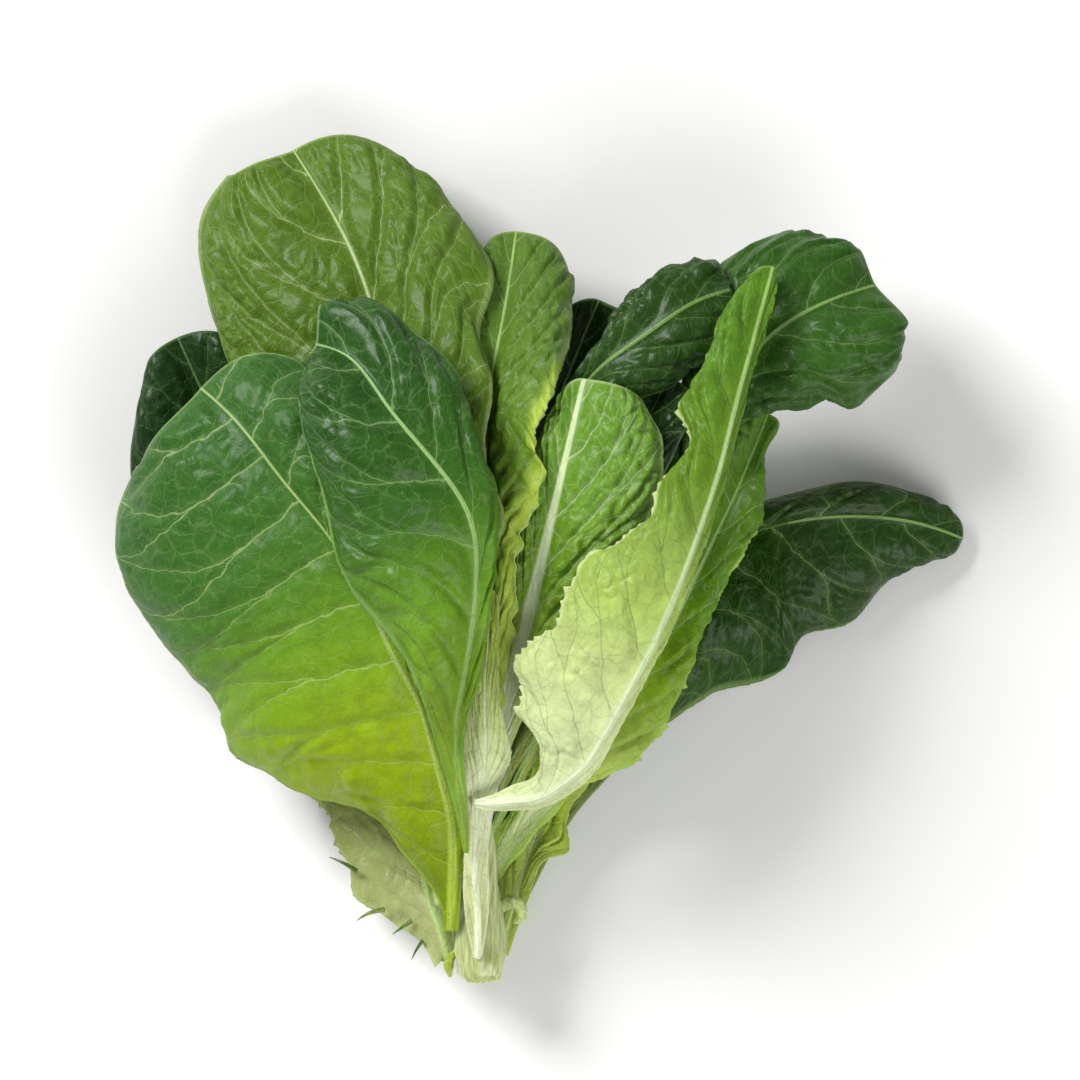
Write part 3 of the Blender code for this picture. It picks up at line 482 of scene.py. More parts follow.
def sheet(leaf, u, v):
    """Middle surface of a blade at u and v.

    At each v a row runs from the midrib out to the margin. What parts them across the leaf is
    covered in step with u, and what parts them along it as a quarter of an ellipse, so the last
    row makes the round tip. Each half then swells by its crown, a half wave between midrib and
    margin, and the margin has ruffles up and down and teeth outwards, coarse ones and fine ones.
    """
    midrib, halves = spans(leaf)
    out = np.abs(u)
    full = 1.0 - math.sqrt(1.0 - TIP_ROUNDNESS)
    bow = (1.0 - np.sqrt(1.0 - TIP_ROUNDNESS * out * out)) / full
    result = at(midrib, v)
    inside = np.sin(math.pi * np.clip(v, 0.0, 1.0)) ** 0.5
    for (sign, across, onward, near), crown, tooth in zip(
            halves, (leaf.crown_left, leaf.crown_right), (leaf.tooth_left, leaf.tooth_right)):
        room = np.clip(at(np.linalg.norm(across, axis=1, keepdims=True), v)[..., 0] / ROOMY, 0.0, 1.0)
        wave = 2 * math.pi * (leaf.waves * v + leaf.phase + MARGIN_SHIFT * (sign > 0))
        swell = eased(*crown, v) * np.sin(math.pi * out**CROWN_SKEW)
        swell = swell + leaf.ruffle * out**3 * inside * np.sin(wave)
        margin = np.full_like(v, sign)
        pace, size = (drift(changes * v, margin, seed) for changes, seed in zip(FRILL_CHANGES, (5, 6)))
        frill = 2 * leaf.frill * size * np.sin(FRILL_WAVES * wave + 2 * pace)
        swell = swell + frill * out**FRILL_REACH * inside
        saw = np.abs(2 * ((leaf.teeth * v) % 1.0) - 1.0) - 0.5
        push = np.maximum(eased(*tooth, v), 0.0) * saw * out**TOOTH_REACH * (v < 1.0)
        pace = drift(FINE_CHANGES[0] * leaf.teeth * v, 0 * v, 7)
        size = 0.6 + 0.8 * drift(FINE_CHANGES[1] * leaf.teeth * v, margin, 8)
        fine = (leaf.teeth * FINE_TEETH * v + FINE_PACE * pace) % 1.0
        push = push + leaf.serration * size * inside * (fine**2 - FINE_LEVEL) * out**FINE_REACH
        half = at(across, v) * out[..., None] + at(onward, v) * bow[..., None]
        half = half + at(unit(across), v) * (push * room)[..., None] + at(near, v) * (swell * room)[..., None]
        result = result + half * (sign * u > 0)[..., None]
    return result


# %% [markdown]
# Side veins leave the midrib at a slant, bow towards the tip, and each parts in two before the margin,
# where it meets its neighbours' branches in arches. The blade is pinned down along them and
# swells between them. A number that grows by one from vein to vein makes all of this: its distance
# to the nearest whole number tells how far the nearest vein is, and both the shape and the
# colours read it.

# %% Veins
VEIN_BOW = 1.3  # above 1 a side vein bows towards the tip
VEIN_DRIFT = 0.16  # of the gap between two veins, by which they stray
VEIN_BEND = 1.6  # changes of that from midrib to margin
HALVES_APART = 9  # so that the two halves stray each in their own way
FORK = (0.42, 1.04)  # where a vein parts in two, and where its branches meet their neighbours'
FORK_DRIFT = 0.16
FORK_CHANGE = 0.8  # of that, from vein to vein


def veins_of(leaf, u, v):
    """Vein number, half gap of the fork in vein numbers, and millimetres between two veins."""
    out = np.abs(u)
    side = (u > 0).astype(float)
    number = leaf.veins * (v - leaf.rise * out**VEIN_BOW) + 0.5 * side + leaf.phase
    stray = drift(VEIN_BEND * out + HALVES_APART * side, 0.45 * leaf.veins * v, 11)
    number = number + VEIN_DRIFT * stray
    parting, meeting = (place + FORK_DRIFT * drift(FORK_CHANGE * number, 5 * side, seed)
                        for place, seed in zip(FORK, (12, 13)))
    fork = 0.5 * ramp(out, parting, meeting)
    length = np.linalg.norm(np.diff(curve_through(leaf.midrib, SAMPLES), axis=0), axis=1).sum()
    return number, fork, np.full_like(u, length / leaf.veins)


def flat_place(leaf, u, v):
    """Where a point of the blade would be if it were ironed flat, and how far it is from the margin."""
    midrib, halves = spans(leaf)
    length = np.linalg.norm(np.diff(midrib, axis=0), axis=1).sum()
    reach = [at(np.linalg.norm(across + onward, axis=1, keepdims=True), v)[..., 0]
             for _, across, onward, _ in halves]
    half_width = np.where(u > 0, reach[1], reach[0])
    inset = np.minimum((1 - np.abs(u)) * half_width, (1 - v) * length)
    return u * half_width, v * length, inset


CUSHION_EDGE = 0.26  # share of the gap between two veins over which a cushion rises
BLISTER_EDGE = 0.55  # the same for a blister, in its own size
BLISTER_WARP = 0.5
WRINKLES = ((0.12, 2.6, 18), (0.35, 7.0, 19))  # height, size and seed
RIB_CLEAR = (1.0, 8.0)  # the relief starts and is full so far from the midrib,
RIM_CLEAR = 5.0  # so far from the margin,
BASE_CLEAR = 0.15  # and at this share of the leaf's length


def relief(leaf, u, v):
    """Height of the cushions between the veins, of the blisters on them, and of fine wrinkles."""
    number, fork, _ = veins_of(leaf, u, v)
    x, y, inset = flat_place(leaf, u, v)
    to_vein = np.abs(np.abs((number + 0.5) % 1.0 - 0.5) - fork)
    cushion = leaf.pucker * ramp(to_vein, 0.0, CUSHION_EDGE) * (0.8 + 0.5 * drift(x / 11, y / 11, 14))
    size = leaf.blister_size
    warp = BLISTER_WARP * drift(x / size, y / size, 15)
    foam = border_distance(x / size + warp, y / size - warp, 16)
    blister = leaf.blister * ramp(foam, 0.0, BLISTER_EDGE) * (0.7 + 0.6 * drift(x / 17, y / 17, 17))
    wrinkle = sum(height * drift(x / width, y / width, seed) for height, width, seed in WRINKLES)
    clear = ramp(np.abs(x), *RIB_CLEAR) * ramp(inset, 0.0, RIM_CLEAR) * ramp(v, 0.0, BASE_CLEAR)
    return (cushion + blister + wrinkle) * clear


# %% [markdown]
# A blade has two faces, each nearly half a millimetre from its middle surface and closer at the
# margin, and its back carries the rib. So a leaf is a closed solid with a near side, a far side and
# a thin edge.

# %% The two faces
BLADE = 0.9  # thickness of a blade
RIM = 0.45  # thickness at the margin
RIM_REACH = 6.0  # how far in the blade has its full thickness
RIB_SHARE = 0.8  # share of a rib's height that stands out of the leaf's back
RIB_TAPER = 1.4  # how fast a rib thins towards the tip
RIB_HALF_WIDTH = 7.0  # at the base
RIB_TIP_HALF_WIDTH = 2.5
RIB_FIT = 0.5  # a rib is never wider than this share of the blade
RIB_ROOMY = 8.0  # half width from which a blade has its full rib


def rib_height(leaf, v, from_midrib):
    """Height of the rib: a bell across it, thinner towards the tip, lower and slimmer on a narrow blade."""
    half_widths = [np.linalg.norm(across, axis=1, keepdims=True) for _, across, _, _ in spans(leaf)[1]]
    narrow = np.minimum(at(half_widths[0], v), at(half_widths[1], v))[..., 0]
    width = RIB_TIP_HALF_WIDTH + (RIB_HALF_WIDTH - RIB_TIP_HALF_WIDTH) * (1.0 - v)
    height = leaf.rib * (1.0 - v) ** RIB_TAPER * np.clip(narrow / RIB_ROOMY, 0.0, 1.0)
    return height * np.exp(-((from_midrib / np.minimum(width, RIB_FIT * narrow)) ** 2))


def faces_of_blade(leaf, u, v, lift):
    """Near and far face of a blade, from its middle surface, its thickness and the rib on its back.

    The thickness is measured square to the blade. The rib stands up the same way all across, so
    that it stays whole where the blade is folded at the midrib.
    """
    middle = sheet(leaf, u, v)
    normal = unit(np.cross(np.gradient(middle, axis=0), np.gradient(middle, axis=1)))
    centre = len(middle) // 2
    from_midrib = np.linalg.norm(middle - middle[centre], axis=-1)
    rib = normal[centre] * rib_height(leaf, v, from_midrib)[..., None]
    middle = middle + normal * relief(leaf, u, v)[..., None]
    middle[..., 2] += lift
    _, _, inset = flat_place(leaf, u, v)
    half = normal * (RIM + (BLADE - RIM) * ramp(inset, 0.0, RIM_REACH))[..., None] / 2
    near_rib = RIB_SHARE if leaf.back_up else 1.0 - RIB_SHARE
    return middle + half + rib * near_rib, middle - half - rib * (1.0 - near_rib)


# %% [markdown]
# The leaves lie on one another. A height map of all that lies below is kept, and a leaf that would
# pass through it is raised until it clears it. The raise is eased out over its neighbourhood, as a
# stiff blade does, so no step shows.

# %% Laying the leaves
FINE = 4  # fine grid steps in a cell of the coarse one that carries the raise
MAP_CELL = 1.5  # side of a cell of the height map
MAP_LOW = (-150.0, -30.0)
MAP_CELLS = (254, 254)
CLEARANCE = 0.9  # between two leaves
OFF_THE_LEAF = -1e3  # nothing there has to be cleared
PRESSED = 1.5  # how far the lowest leaf is pressed flat by the head's weight
SETTLING_ROUNDS = 120
SLACKNESS = 0.985  # how quickly a raised leaf comes down again beside what raised it

height_map = np.full(MAP_CELLS, -PRESSED - CLEARANCE)


def map_cells(points):
    return tuple(((points[..., axis] - MAP_LOW[axis]) / MAP_CELL).astype(int) for axis in (0, 1))


def highest_below(points):
    """Highest thing under each point or in a cell beside it."""
    x, y = map_cells(points)
    return np.max([height_map[x + i, y + j] for i in (-1, 0, 1) for j in (-1, 0, 1)], axis=0)


def spread(coarse, count):
    """The coarse values on a grid count times finer, blended by cubic B-splines."""
    weights = []
    for size in coarse.shape:
        apart = np.abs(np.arange(count * (size - 1) + 1)[:, None] / count - np.arange(size))
        near = 2 / 3 - apart**2 + apart**3 / 2
        wide = np.clip(2 - apart, 0, None) ** 3 / 6
        bell = np.where(apart < 1, near, wide)
        weights.append(bell / bell.sum(axis=1, keepdims=True))
    return weights[0] @ coarse @ weights[1].T


def raise_over(points):
    """How far each point has to rise for the grid to clear what lies under it, eased out between them."""
    short = highest_below(points) + CLEARANCE - points[..., 2]
    padded = np.pad(short, FINE, constant_values=OFF_THE_LEAF)
    windows = np.lib.stride_tricks.sliding_window_view(padded, (2 * FINE + 1, 2 * FINE + 1))
    need = np.maximum(windows[::FINE, ::FINE].max(axis=(2, 3)), 0.0)
    lift = need
    for _ in range(SETTLING_ROUNDS):
        wide = np.pad(lift, 1, mode="edge")
        mean = (wide[:-2, 1:-1] + wide[2:, 1:-1] + wide[1:-1, :-2] + wide[1:-1, 2:]) / 4
        lift = np.maximum(need, SLACKNESS * mean)
    return spread(lift, FINE)


def lay_leaf(leaf):
    """Grid numbers and both faces of a leaf once it lies on the pile, which then includes it."""
    steps = [FINE * count + 1 for count in leaf.cells]
    u, v = np.meshgrid(np.linspace(-1, 1, steps[0]), np.linspace(0, 1, steps[1]), indexing="ij")
    _, far = faces_of_blade(leaf, u, v, 0.0)
    near, far = faces_of_blade(leaf, u, v, raise_over(far))
    for face in (near, far):
        np.maximum.at(height_map, map_cells(face), face[..., 2])
    far[..., 2] = np.maximum(far[..., 2], 0.0)
    near[..., 2] = np.maximum(near[..., 2], BLADE)
    return u, v, near, far


# %% [markdown]
# Colours and veins are read by the material from numbers kept at each vertex, since they follow the
# blade wherever it bends. They change slowly, so the grid is fine enough for them, and the
# material draws the thin lines itself.

# %% Making a mesh
def closed_faces(rows, columns):
    """Four-sided faces of two grids back to back and of the strip round their edge."""
    index = np.arange(rows * columns).reshape(rows, columns)
    below = rows * columns
    near = np.stack([index[:-1, :-1], index[1:, :-1], index[1:, 1:], index[:-1, 1:]], axis=-1).reshape(-1, 4)
    edge = np.concatenate([index[:, 0], index[-1, 1:], index[-2::-1, -1], index[0, -2:0:-1]])
    onward = np.roll(edge, -1)
    rim = np.stack([onward, edge, edge + below, onward + below], axis=-1)
    return np.concatenate([near, near[:, ::-1] + below, rim])


def in_place(points):
    """Millimetres from the stem's foot to metres from the rest spot."""
    return (points - (*REST_SPOT, 0.0)) * MM


def add_object(mesh, material):
    """The mesh as an object at the origin, of one material."""
    mesh.materials.append(material)
    made = bpy.data.objects.new(mesh.name, mesh)
    bpy.context.scene.collection.objects.link(made)
    return made


def make_piece(name, points, faces, material, attributes):
    """A smooth mesh object at the origin, with its place in its mesh and its numbers at the vertices."""
    mesh = bpy.data.meshes.new(name)
    mesh.vertices.add(len(points))
    mesh.vertices.foreach_set("co", in_place(points).ravel())
    mesh.loops.add(faces.size)
    mesh.loops.foreach_set("vertex_index", faces.ravel())
    mesh.polygons.add(len(faces))
    mesh.polygons.foreach_set("loop_start", np.arange(0, faces.size, faces.shape[1]))
    mesh.update(calc_edges=True)
    for key, values in attributes.items():
        if values.shape[1] == 4:
            mesh.attributes.new(key, "FLOAT_COLOR", "POINT").data.foreach_set("color", values.ravel())
        else:
            mesh.attributes.new(key, "FLOAT_VECTOR", "POINT").data.foreach_set("vector", values.ravel())
    mesh.shade_smooth()
    piece = add_object(mesh, material)
    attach(piece, "root")
    return piece


def blend_colours(codes, places, share):
    """Colours as rows of four numbers, blended between the codes given at their places."""
    table = np.array([linear(code) for code in codes])
    channels = [np.interp(share, places, table[:, i]) for i in range(3)]
    return np.stack([*channels, np.ones_like(share)], axis=-1).reshape(-1, 4)


PALE_LIT_RIM_END = (0.75, 0.95)  # along the leaf, where the pale rim, partly painted light, fades out


def blend_to_pale_lit_rim(leaf, colours, v, inset):
    """The blade's colours, turning to the rim's colour near the margin: its own paler tissue and painted
    light.

    The rim narrows along the leaf, and the tip has none.
    """
    if not leaf.rim:
        return colours
    share = (1 - ramp(inset, 0.0, leaf.pale_lit_rim_depth * np.clip(1.3 - v, 0.3, 1.0))).reshape(-1, 1)
    share = share * (1 - ramp(v, *PALE_LIT_RIM_END)).reshape(-1, 1)
    return colours * (1 - share) + np.array([*linear(leaf.rim), 1.0]) * share


# %% [markdown]
# The leaf material is made of four patterns laid over a green: side veins, two nets of finer veins,
# the midrib, and the margin. All of them read the numbers kept at the vertices, in millimetres.

# %% What the leaf material reads
def leaf_numbers(tree):
    """The numbers kept at the vertices: veins, place, widths, the flattened place and the two colours."""
    read = {name: add(tree, "ShaderNodeAttribute", {"attribute_name": name})
            for name in ("veins", "place", "widths", "tint", "pale")}
    vein, spot, wide = (add(tree, "ShaderNodeSeparateXYZ", inputs={0: read[name].outputs["Vector"]}).outputs
                        for name in ("veins", "place", "widths"))
    flat = add(tree, "ShaderNodeCombineXYZ", inputs={0: spot[0], 1: spot[1]}).outputs[0]
    return vein, spot, wide, flat, read["tint"].outputs["Color"], read["pale"].outputs["Color"]


# %% [markdown]
# A side vein is drawn where its distance is small. The vein number gives that distance, once it is
# folded at whole numbers, split by the fork and turned to millimetres. A little noise makes the
# vein wander, and a faint halo beside it is the pale tissue that wraps a vein.

# %% Side veins
WANDER_SIZE = 7.14  # millimetres over which a side vein wanders
WANDER = 0.16  # of the gap between two veins, from side to side
HALO = 3.0  # millimetres
HALO_STRENGTH = 0.07


def side_vein_lines(tree, vein, half_width, flat):
    """Strength of the side veins' own line and of the halo beside it."""
    wiggle = add(tree, "ShaderNodeTexNoise", {"noise_dimensions": "2D"},
                 {"Vector": flat, "Scale": 1 / WANDER_SIZE, "Detail": 2.0})
    shift = add(tree, "ShaderNodeMath", {"operation": "MULTIPLY_ADD"},
                {0: wiggle.outputs[0], 1: WANDER, 2: -WANDER / 2})
    number = add(tree, "ShaderNodeMath", {"operation": "ADD"}, {0: vein[0], 1: shift.outputs[0]})
    whole = add(tree, "ShaderNodeMath", {"operation": "PINGPONG"}, {0: number.outputs[0], 1: 0.5})
    branch = add(tree, "ShaderNodeMath", {"operation": "SUBTRACT"}, {0: whole.outputs[0], 1: vein[1]})
    apart = add(tree, "ShaderNodeMath", {"operation": "ABSOLUTE"}, {0: branch.outputs[0]})
    away = add(tree, "ShaderNodeMath", {"operation": "MULTIPLY"}, {0: apart.outputs[0], 1: vein[2]})
    core = add(tree, "ShaderNodeMath", {"operation": "MULTIPLY"}, {0: half_width, 1: 0.25})
    skirt = add(tree, "ShaderNodeMath", {"operation": "MULTIPLY"}, {0: half_width, 1: 1.35})
    line = add(tree, "ShaderNodeMapRange", {"interpolation_type": "SMOOTHSTEP"},
               {"Value": away.outputs[0], "From Min": core.outputs[0], "From Max": skirt.outputs[0],
                "To Min": 1.0, "To Max": 0.0})
    halo = add(tree, "ShaderNodeMapRange", {"interpolation_type": "SMOOTHSTEP"},
               {"Value": away.outputs[0], "From Min": 0.0, "From Max": HALO,
                "To Min": HALO_STRENGTH, "To Max": 0.0})
    return line, halo


# %% [markdown]
# Between the side veins lie nets of ever finer ones. They are the borders of cells round scattered
# points, as a Voronoi texture draws them. Noise bends the cells, because straight borders would
# look like cracked glass.

# %% Nets of finer veins
NETS = ((8.0, 0.12, 0.62), (2.8, 0.05, 0.36))  # cell, and where its line starts and has faded out
BEND_SIZE = 9.1
BEND = 9.0  # millimetres of shift, between one end of the noise and the other


def net_lines(tree, flat):
    """Strength of the lines of the coarse and of the fine net."""
    bent = add(tree, "ShaderNodeTexNoise", {"noise_dimensions": "2D"},
               {"Vector": flat, "Scale": 1 / BEND_SIZE, "Detail": 3.0})
    warp = add(tree, "ShaderNodeVectorMath", {"operation": "MULTIPLY_ADD"},
               {0: bent.outputs["Color"], 1: (BEND, BEND, 0.0), 2: flat})
    lines = []
    for cell, start, end in NETS:
        foam = add(tree, "ShaderNodeTexVoronoi", {"voronoi_dimensions": "2D", "feature": "DISTANCE_TO_EDGE"},
                   {"Vector": warp.outputs[0], "Scale": 1 / cell, "Randomness": 0.9})
        lines.append(add(tree, "ShaderNodeMapRange", {"interpolation_type": "SMOOTHSTEP"},
                         {"Value": foam.outputs["Distance"], "From Min": start / cell,
                          "From Max": end / cell, "To Min": 1.0, "To Max": 0.0}))
    return lines


# %% [markdown]
# The midrib is a pale band of watery flesh with fibres along it. Its width comes from the vertices,
# and its fibres are noise that is drawn out along the leaf.

# %% The midrib
FIBRE = (1.1, 0.06, 0.0)  # changes in a millimetre across and along the leaf


def midrib_band(tree, spot, half_width, flat, pale):
    """Strength of the midrib's band, and its colour."""
    fibre_place = add(tree, "ShaderNodeVectorMath", {"operation": "MULTIPLY"}, {0: flat, 1: FIBRE})
    fibre = add(tree, "ShaderNodeTexNoise", {"noise_dimensions": "2D"},
                {"Vector": fibre_place.outputs[0], "Scale": 1.0, "Detail": 3.0})
    side_way = add(tree, "ShaderNodeMath", {"operation": "ABSOLUTE"}, {0: spot[0]})
    start = add(tree, "ShaderNodeMath", {"operation": "MULTIPLY"}, {0: half_width, 1: 0.55})
    end = add(tree, "ShaderNodeMath", {"operation": "MULTIPLY"}, {0: half_width, 1: 1.35})
    band = add(tree, "ShaderNodeMapRange", {"interpolation_type": "SMOOTHSTEP"},
               {"Value": side_way.outputs[0], "From Min": start.outputs[0], "From Max": end.outputs[0],
                "To Min": 1.0, "To Max": 0.0})
    shade = add(tree, "ShaderNodeMapRange", {},
                {"Value": fibre.outputs[0], "From Min": 0.2, "From Max": 0.8, "To Min": 0.8, "To Max": 1.15})
    colour = add(tree, "ShaderNodeVectorMath", {"operation": "SCALE"}, {0: pale, "Scale": shade.outputs[0]})
    return band, colour.outputs[0]


# %% [markdown]
# Lettuce leaf: a thin watery blade under a clear waxy skin. The skin gives a broad, fairly sharp shine,
# and the water and the pale tissue inside let light through, so the shadows glow yellow-green. It
# is one shader with some light going under the skin. The lines above are laid over a green that
# is softly mottled, and the same lines sink into the skin.

# %% Leaf material
DEEP_VEIN = 0.55  # brightness of a dark vein beside the green round it
MOTTLE_SIZE = 8.33
MOTTLE = (0.84, 1.16)  # darkest and lightest green
PALE_LIT_EDGE = (0.2, 1.3)  # millimetres from the margin where its pale line starts and has faded out: the thin margin's own paleness and a painted highlight
PALE_LIT_EDGE_STRENGTH = 0.45
GRAIN_SIZE = 1.82
GRAIN = 0.35  # millimetres high
SKIN_IOR = 1.36
SHEEN = 0.20  # specular level; 0.5 is a smooth skin, and a leaf's fine grain scatters the rest
COAT_ROUGHNESS = 0.22
TISSUE_RADIUS = (0.6, 1.0, 0.25)  # green light goes furthest through a leaf
TISSUE_DEPTH = 2.5 * MM


def leaf_material(name, roughness, coat, glow, net, fine, side):
    """Waxy leaf skin.

    net, fine and side say how pale the two nets and the side veins are drawn, or how dark below 0.
    """
    material = bpy.data.materials.new(name)
    material.use_nodes = True
    tree = material.node_tree
    shader = tree.nodes["Principled BSDF"]
    vein, spot, wide, flat, tint, pale = leaf_numbers(tree)
    side_line, halo = side_vein_lines(tree, vein, wide[1], flat)
    coarse_net, fine_net = net_lines(tree, flat)
    rib, rib_colour = midrib_band(tree, spot, wide[0], flat, pale)

    # Mottled green, with the veins over it
    mottle = add(tree, "ShaderNodeTexNoise", {"noise_dimensions": "2D"},
                 {"Vector": flat, "Scale": 1 / MOTTLE_SIZE, "Detail": 6.0, "Roughness": 0.62})
    shade = add(tree, "ShaderNodeMapRange", {},
                {"Value": mottle.outputs[0], "From Min": 0.25, "From Max": 0.75,
                 "To Min": MOTTLE[0], "To Max": MOTTLE[1]})
    colour = add(tree, "ShaderNodeVectorMath", {"operation": "SCALE"},
                 {0: tint, "Scale": shade.outputs[0]}).outputs[0]
    deep = add(tree, "ShaderNodeVectorMath", {"operation": "SCALE"}, {0: tint, "Scale": DEEP_VEIN}).outputs[0]
    # A pale line along the margin: partly the thin margin's own paler tissue, partly a painted highlight where
    # a rolled margin catches the light.
    edge = add(tree, "ShaderNodeMapRange", {"interpolation_type": "SMOOTHSTEP"},
               {"Value": spot[2], "From Min": PALE_LIT_EDGE[0], "From Max": PALE_LIT_EDGE[1],
                "To Min": PALE_LIT_EDGE_STRENGTH, "To Max": 0.0})
    for line, strength in ((halo, 1.0), (fine_net, fine), (coarse_net, net), (side_line, side), (edge, 1.0)):
        share = add(tree, "ShaderNodeMath", {"operation": "MULTIPLY"}, {0: line.outputs[0], 1: abs(strength)})
        colour = add(tree, "ShaderNodeMix", {"data_type": "RGBA"},
                     {"Factor": share.outputs[0], 6: colour, 7: pale if strength > 0 else deep}).outputs[2]
    colour = add(tree, "ShaderNodeMix", {"data_type": "RGBA"},
                 {"Factor": rib.outputs[0], 6: colour, 7: rib_colour}).outputs[2]
    tree.links.new(colour, shader.inputs["Base Color"])

    # Skin with sunken veins and a fine grain, in millimetres
    grain = add(tree, "ShaderNodeTexNoise", {"noise_dimensions": "2D"},
                {"Vector": flat, "Scale": 1 / GRAIN_SIZE, "Detail": 4.0})
    height = add(tree, "ShaderNodeMath", {"operation": "MULTIPLY"}, {0: grain.outputs[0], 1: GRAIN}).outputs[0]
    for line, depth in ((side_line, -0.30), (coarse_net, -0.16), (fine_net, -0.07), (rib, -0.25)):
        height = add(tree, "ShaderNodeMath", {"operation": "MULTIPLY_ADD"},
                     {0: line.outputs[0], 1: depth, 2: height}).outputs[0]
    bump = add(tree, "ShaderNodeBump", {}, {"Height": height, "Distance": MM, "Strength": 0.8})
    tree.links.new(bump.outputs[0], shader.inputs["Normal"])
    gloss = add(tree, "ShaderNodeMapRange", {},
                {"Value": mottle.outputs[0], "From Min": 0.3, "From Max": 0.7,
                 "To Min": roughness - 0.08, "To Max": roughness + 0.1})
    tree.links.new(gloss.outputs[0], shader.inputs["Roughness"])
    shader.inputs["IOR"].default_value = SKIN_IOR
    shader.inputs["Specular IOR Level"].default_value = SHEEN
    shader.inputs["Metallic"].default_value = 0.0
    shader.inputs["Coat Weight"].default_value = coat
    shader.inputs["Coat Roughness"].default_value = COAT_ROUGHNESS
    shader.inputs["Subsurface Weight"].default_value = glow
    shader.inputs["Subsurface Radius"].default_value = TISSUE_RADIUS
    shader.inputs["Subsurface Scale"].default_value = TISSUE_DEPTH
    return material


LEAF_FINISHES = {  # name, roughness, coat, glow, then how pale the coarse net, fine net and side veins are
    "dark_leaf": leaf_material("dark_waxy_leaf", 0.33, 0.16, 0.05, 0.10, 0.04, 0.42),
    "green_leaf": leaf_material("green_leaf", 0.36, 0.10, 0.08, 0.10, 0.05, 0.60),
    "light_leaf": leaf_material("tender_leaf", 0.36, 0.12, 0.14, 0.12, 0.06, 0.55),
    "heart_leaf": leaf_material("blanched_heart_leaf", 0.38, 0.12, 0.22, -0.15, -0.06, -0.32),
}
print("leaf finishes:", ", ".join(material.name for material in LEAF_FINISHES.values()))

# %% [markdown]
# Now the leaves are laid, those under the stem first. Each fine leaf stands for the solid of its name
# and takes its finish from the same slot.

# %% Growing a leaf
VEIN_WIDTH = (0.62, 0.22)  # half width of a side vein at the midrib and at the margin
COLOUR_SPAN = (0.08, 0.85)  # along the leaf, where its first and last colour are
PALE_SPAN = (0.0, 0.9)


def narrowing(widths, share, power):
    """From the first width to the second as the share falls from 1 to 0, by a power."""
    return widths[1] + (widths[0] - widths[1]) * share**power


def grow_leaf(leaf):
    """The fine leaf in its place, with what its material reads at each vertex."""
    u, v, near, far = lay_leaf(leaf)
    number, fork, spacing = veins_of(leaf, u, v)
    x, y, inset = flat_place(leaf, u, v)
    rib_half = narrowing(leaf.rib_width, 1 - v, 1.6)
    side_half = narrowing(VEIN_WIDTH, 1 - np.abs(u), 1.5)
    stops = np.linspace(*COLOUR_SPAN, len(leaf.colours))
    numbers = {
        "veins": np.stack([number, fork, spacing], axis=-1).reshape(-1, 3),
        "place": np.stack([x, y, inset], axis=-1).reshape(-1, 3),
        "widths": np.stack([rib_half, side_half, 0 * u], axis=-1).reshape(-1, 3),
        "tint": blend_to_pale_lit_rim(leaf, blend_colours(leaf.colours, stops, v), v, inset),
        "pale": blend_colours(leaf.vein_colours, PALE_SPAN, v),
    }
    doubled = {key: np.concatenate([values, values]).astype(np.float32) for key, values in numbers.items()}
    points = np.concatenate([near.reshape(-1, 3), far.reshape(-1, 3)])
    faces = closed_faces(*u.shape)
    piece = make_piece(leaf.name + "_blade", points, faces, LEAF_FINISHES[leaf.slot], doubled)
    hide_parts(leaf.name)
    _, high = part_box(leaf.name)
    print(f"{leaf.name}: {len(faces)} faces, top {points[:, 2].max():.0f} mm over {high.z / MM:.0f} mm")


for leaf in LEAVES_UNDER_STEM:
    grow_leaf(leaf)

# %% [markdown]
# The stem is the pale core that all leaves grew from, cut through with a knife at its foot. Its skin is
# wet, half clear and ribbed where the outer leaves were torn away. A profile carried along its
# axis gives it, with ridges as waves round it.

# %% The stem
STEM_FOOT = (9.0, 1.0, 19.0)
STEM_TOP = (9.0, 64.0, 44.0)
STEM_RADII = (8.5, 9.5, 9.0, 7.8, 6.6, 5.5, 4.5, 3.0)  # from the cut end to the growing tip
STEM_GRID = (97, 72)  # rings and points in a ring
STEM_RIDGES = 5
RIDGE_WIND = 6  # radians of their wave, from foot to top
RIDGE_DEPTH = 0.06  # as a share of the radius, as the next
LUMP_HEIGHT = 0.04
CUT_EDGE = math.radians(50)  # edges sharper than this stay sharp
STEM_SLOPE = 40  # rings over which a raised ring eases the next ones up


def stem_surface(share, turn):
    """Profile carried from foot to top, with five ridges that wind round it and small lumps."""
    foot, top = np.array(STEM_FOOT), np.array(STEM_TOP)
    axis = unit(top - foot)
    up = unit(np.array((0.0, 0.0, 1.0)) - axis * axis[2])
    sideways = np.cross(axis, up)
    radius = np.interp(share, np.linspace(0, 1, len(STEM_RADII)), STEM_RADII)
    ridges = 1.0 - RIDGE_DEPTH * np.cos(STEM_RIDGES / 2 * turn + RIDGE_WIND * share) ** 2
    lumps = LUMP_HEIGHT * drift(3 * np.cos(turn) + 20, 3 * np.sin(turn) + 14 * share + 20, 21)
    spread_out = (radius * (ridges + lumps))[..., None]
    ring = np.cos(turn)[..., None] * sideways + np.sin(turn)[..., None] * up
    return foot + share[..., None] * (top - foot) + spread_out * ring


FLESH_THREADS = (900.0, 90.0, 900.0)  # a millimetre thick and a centimetre long
FLESH_IOR = 1.38


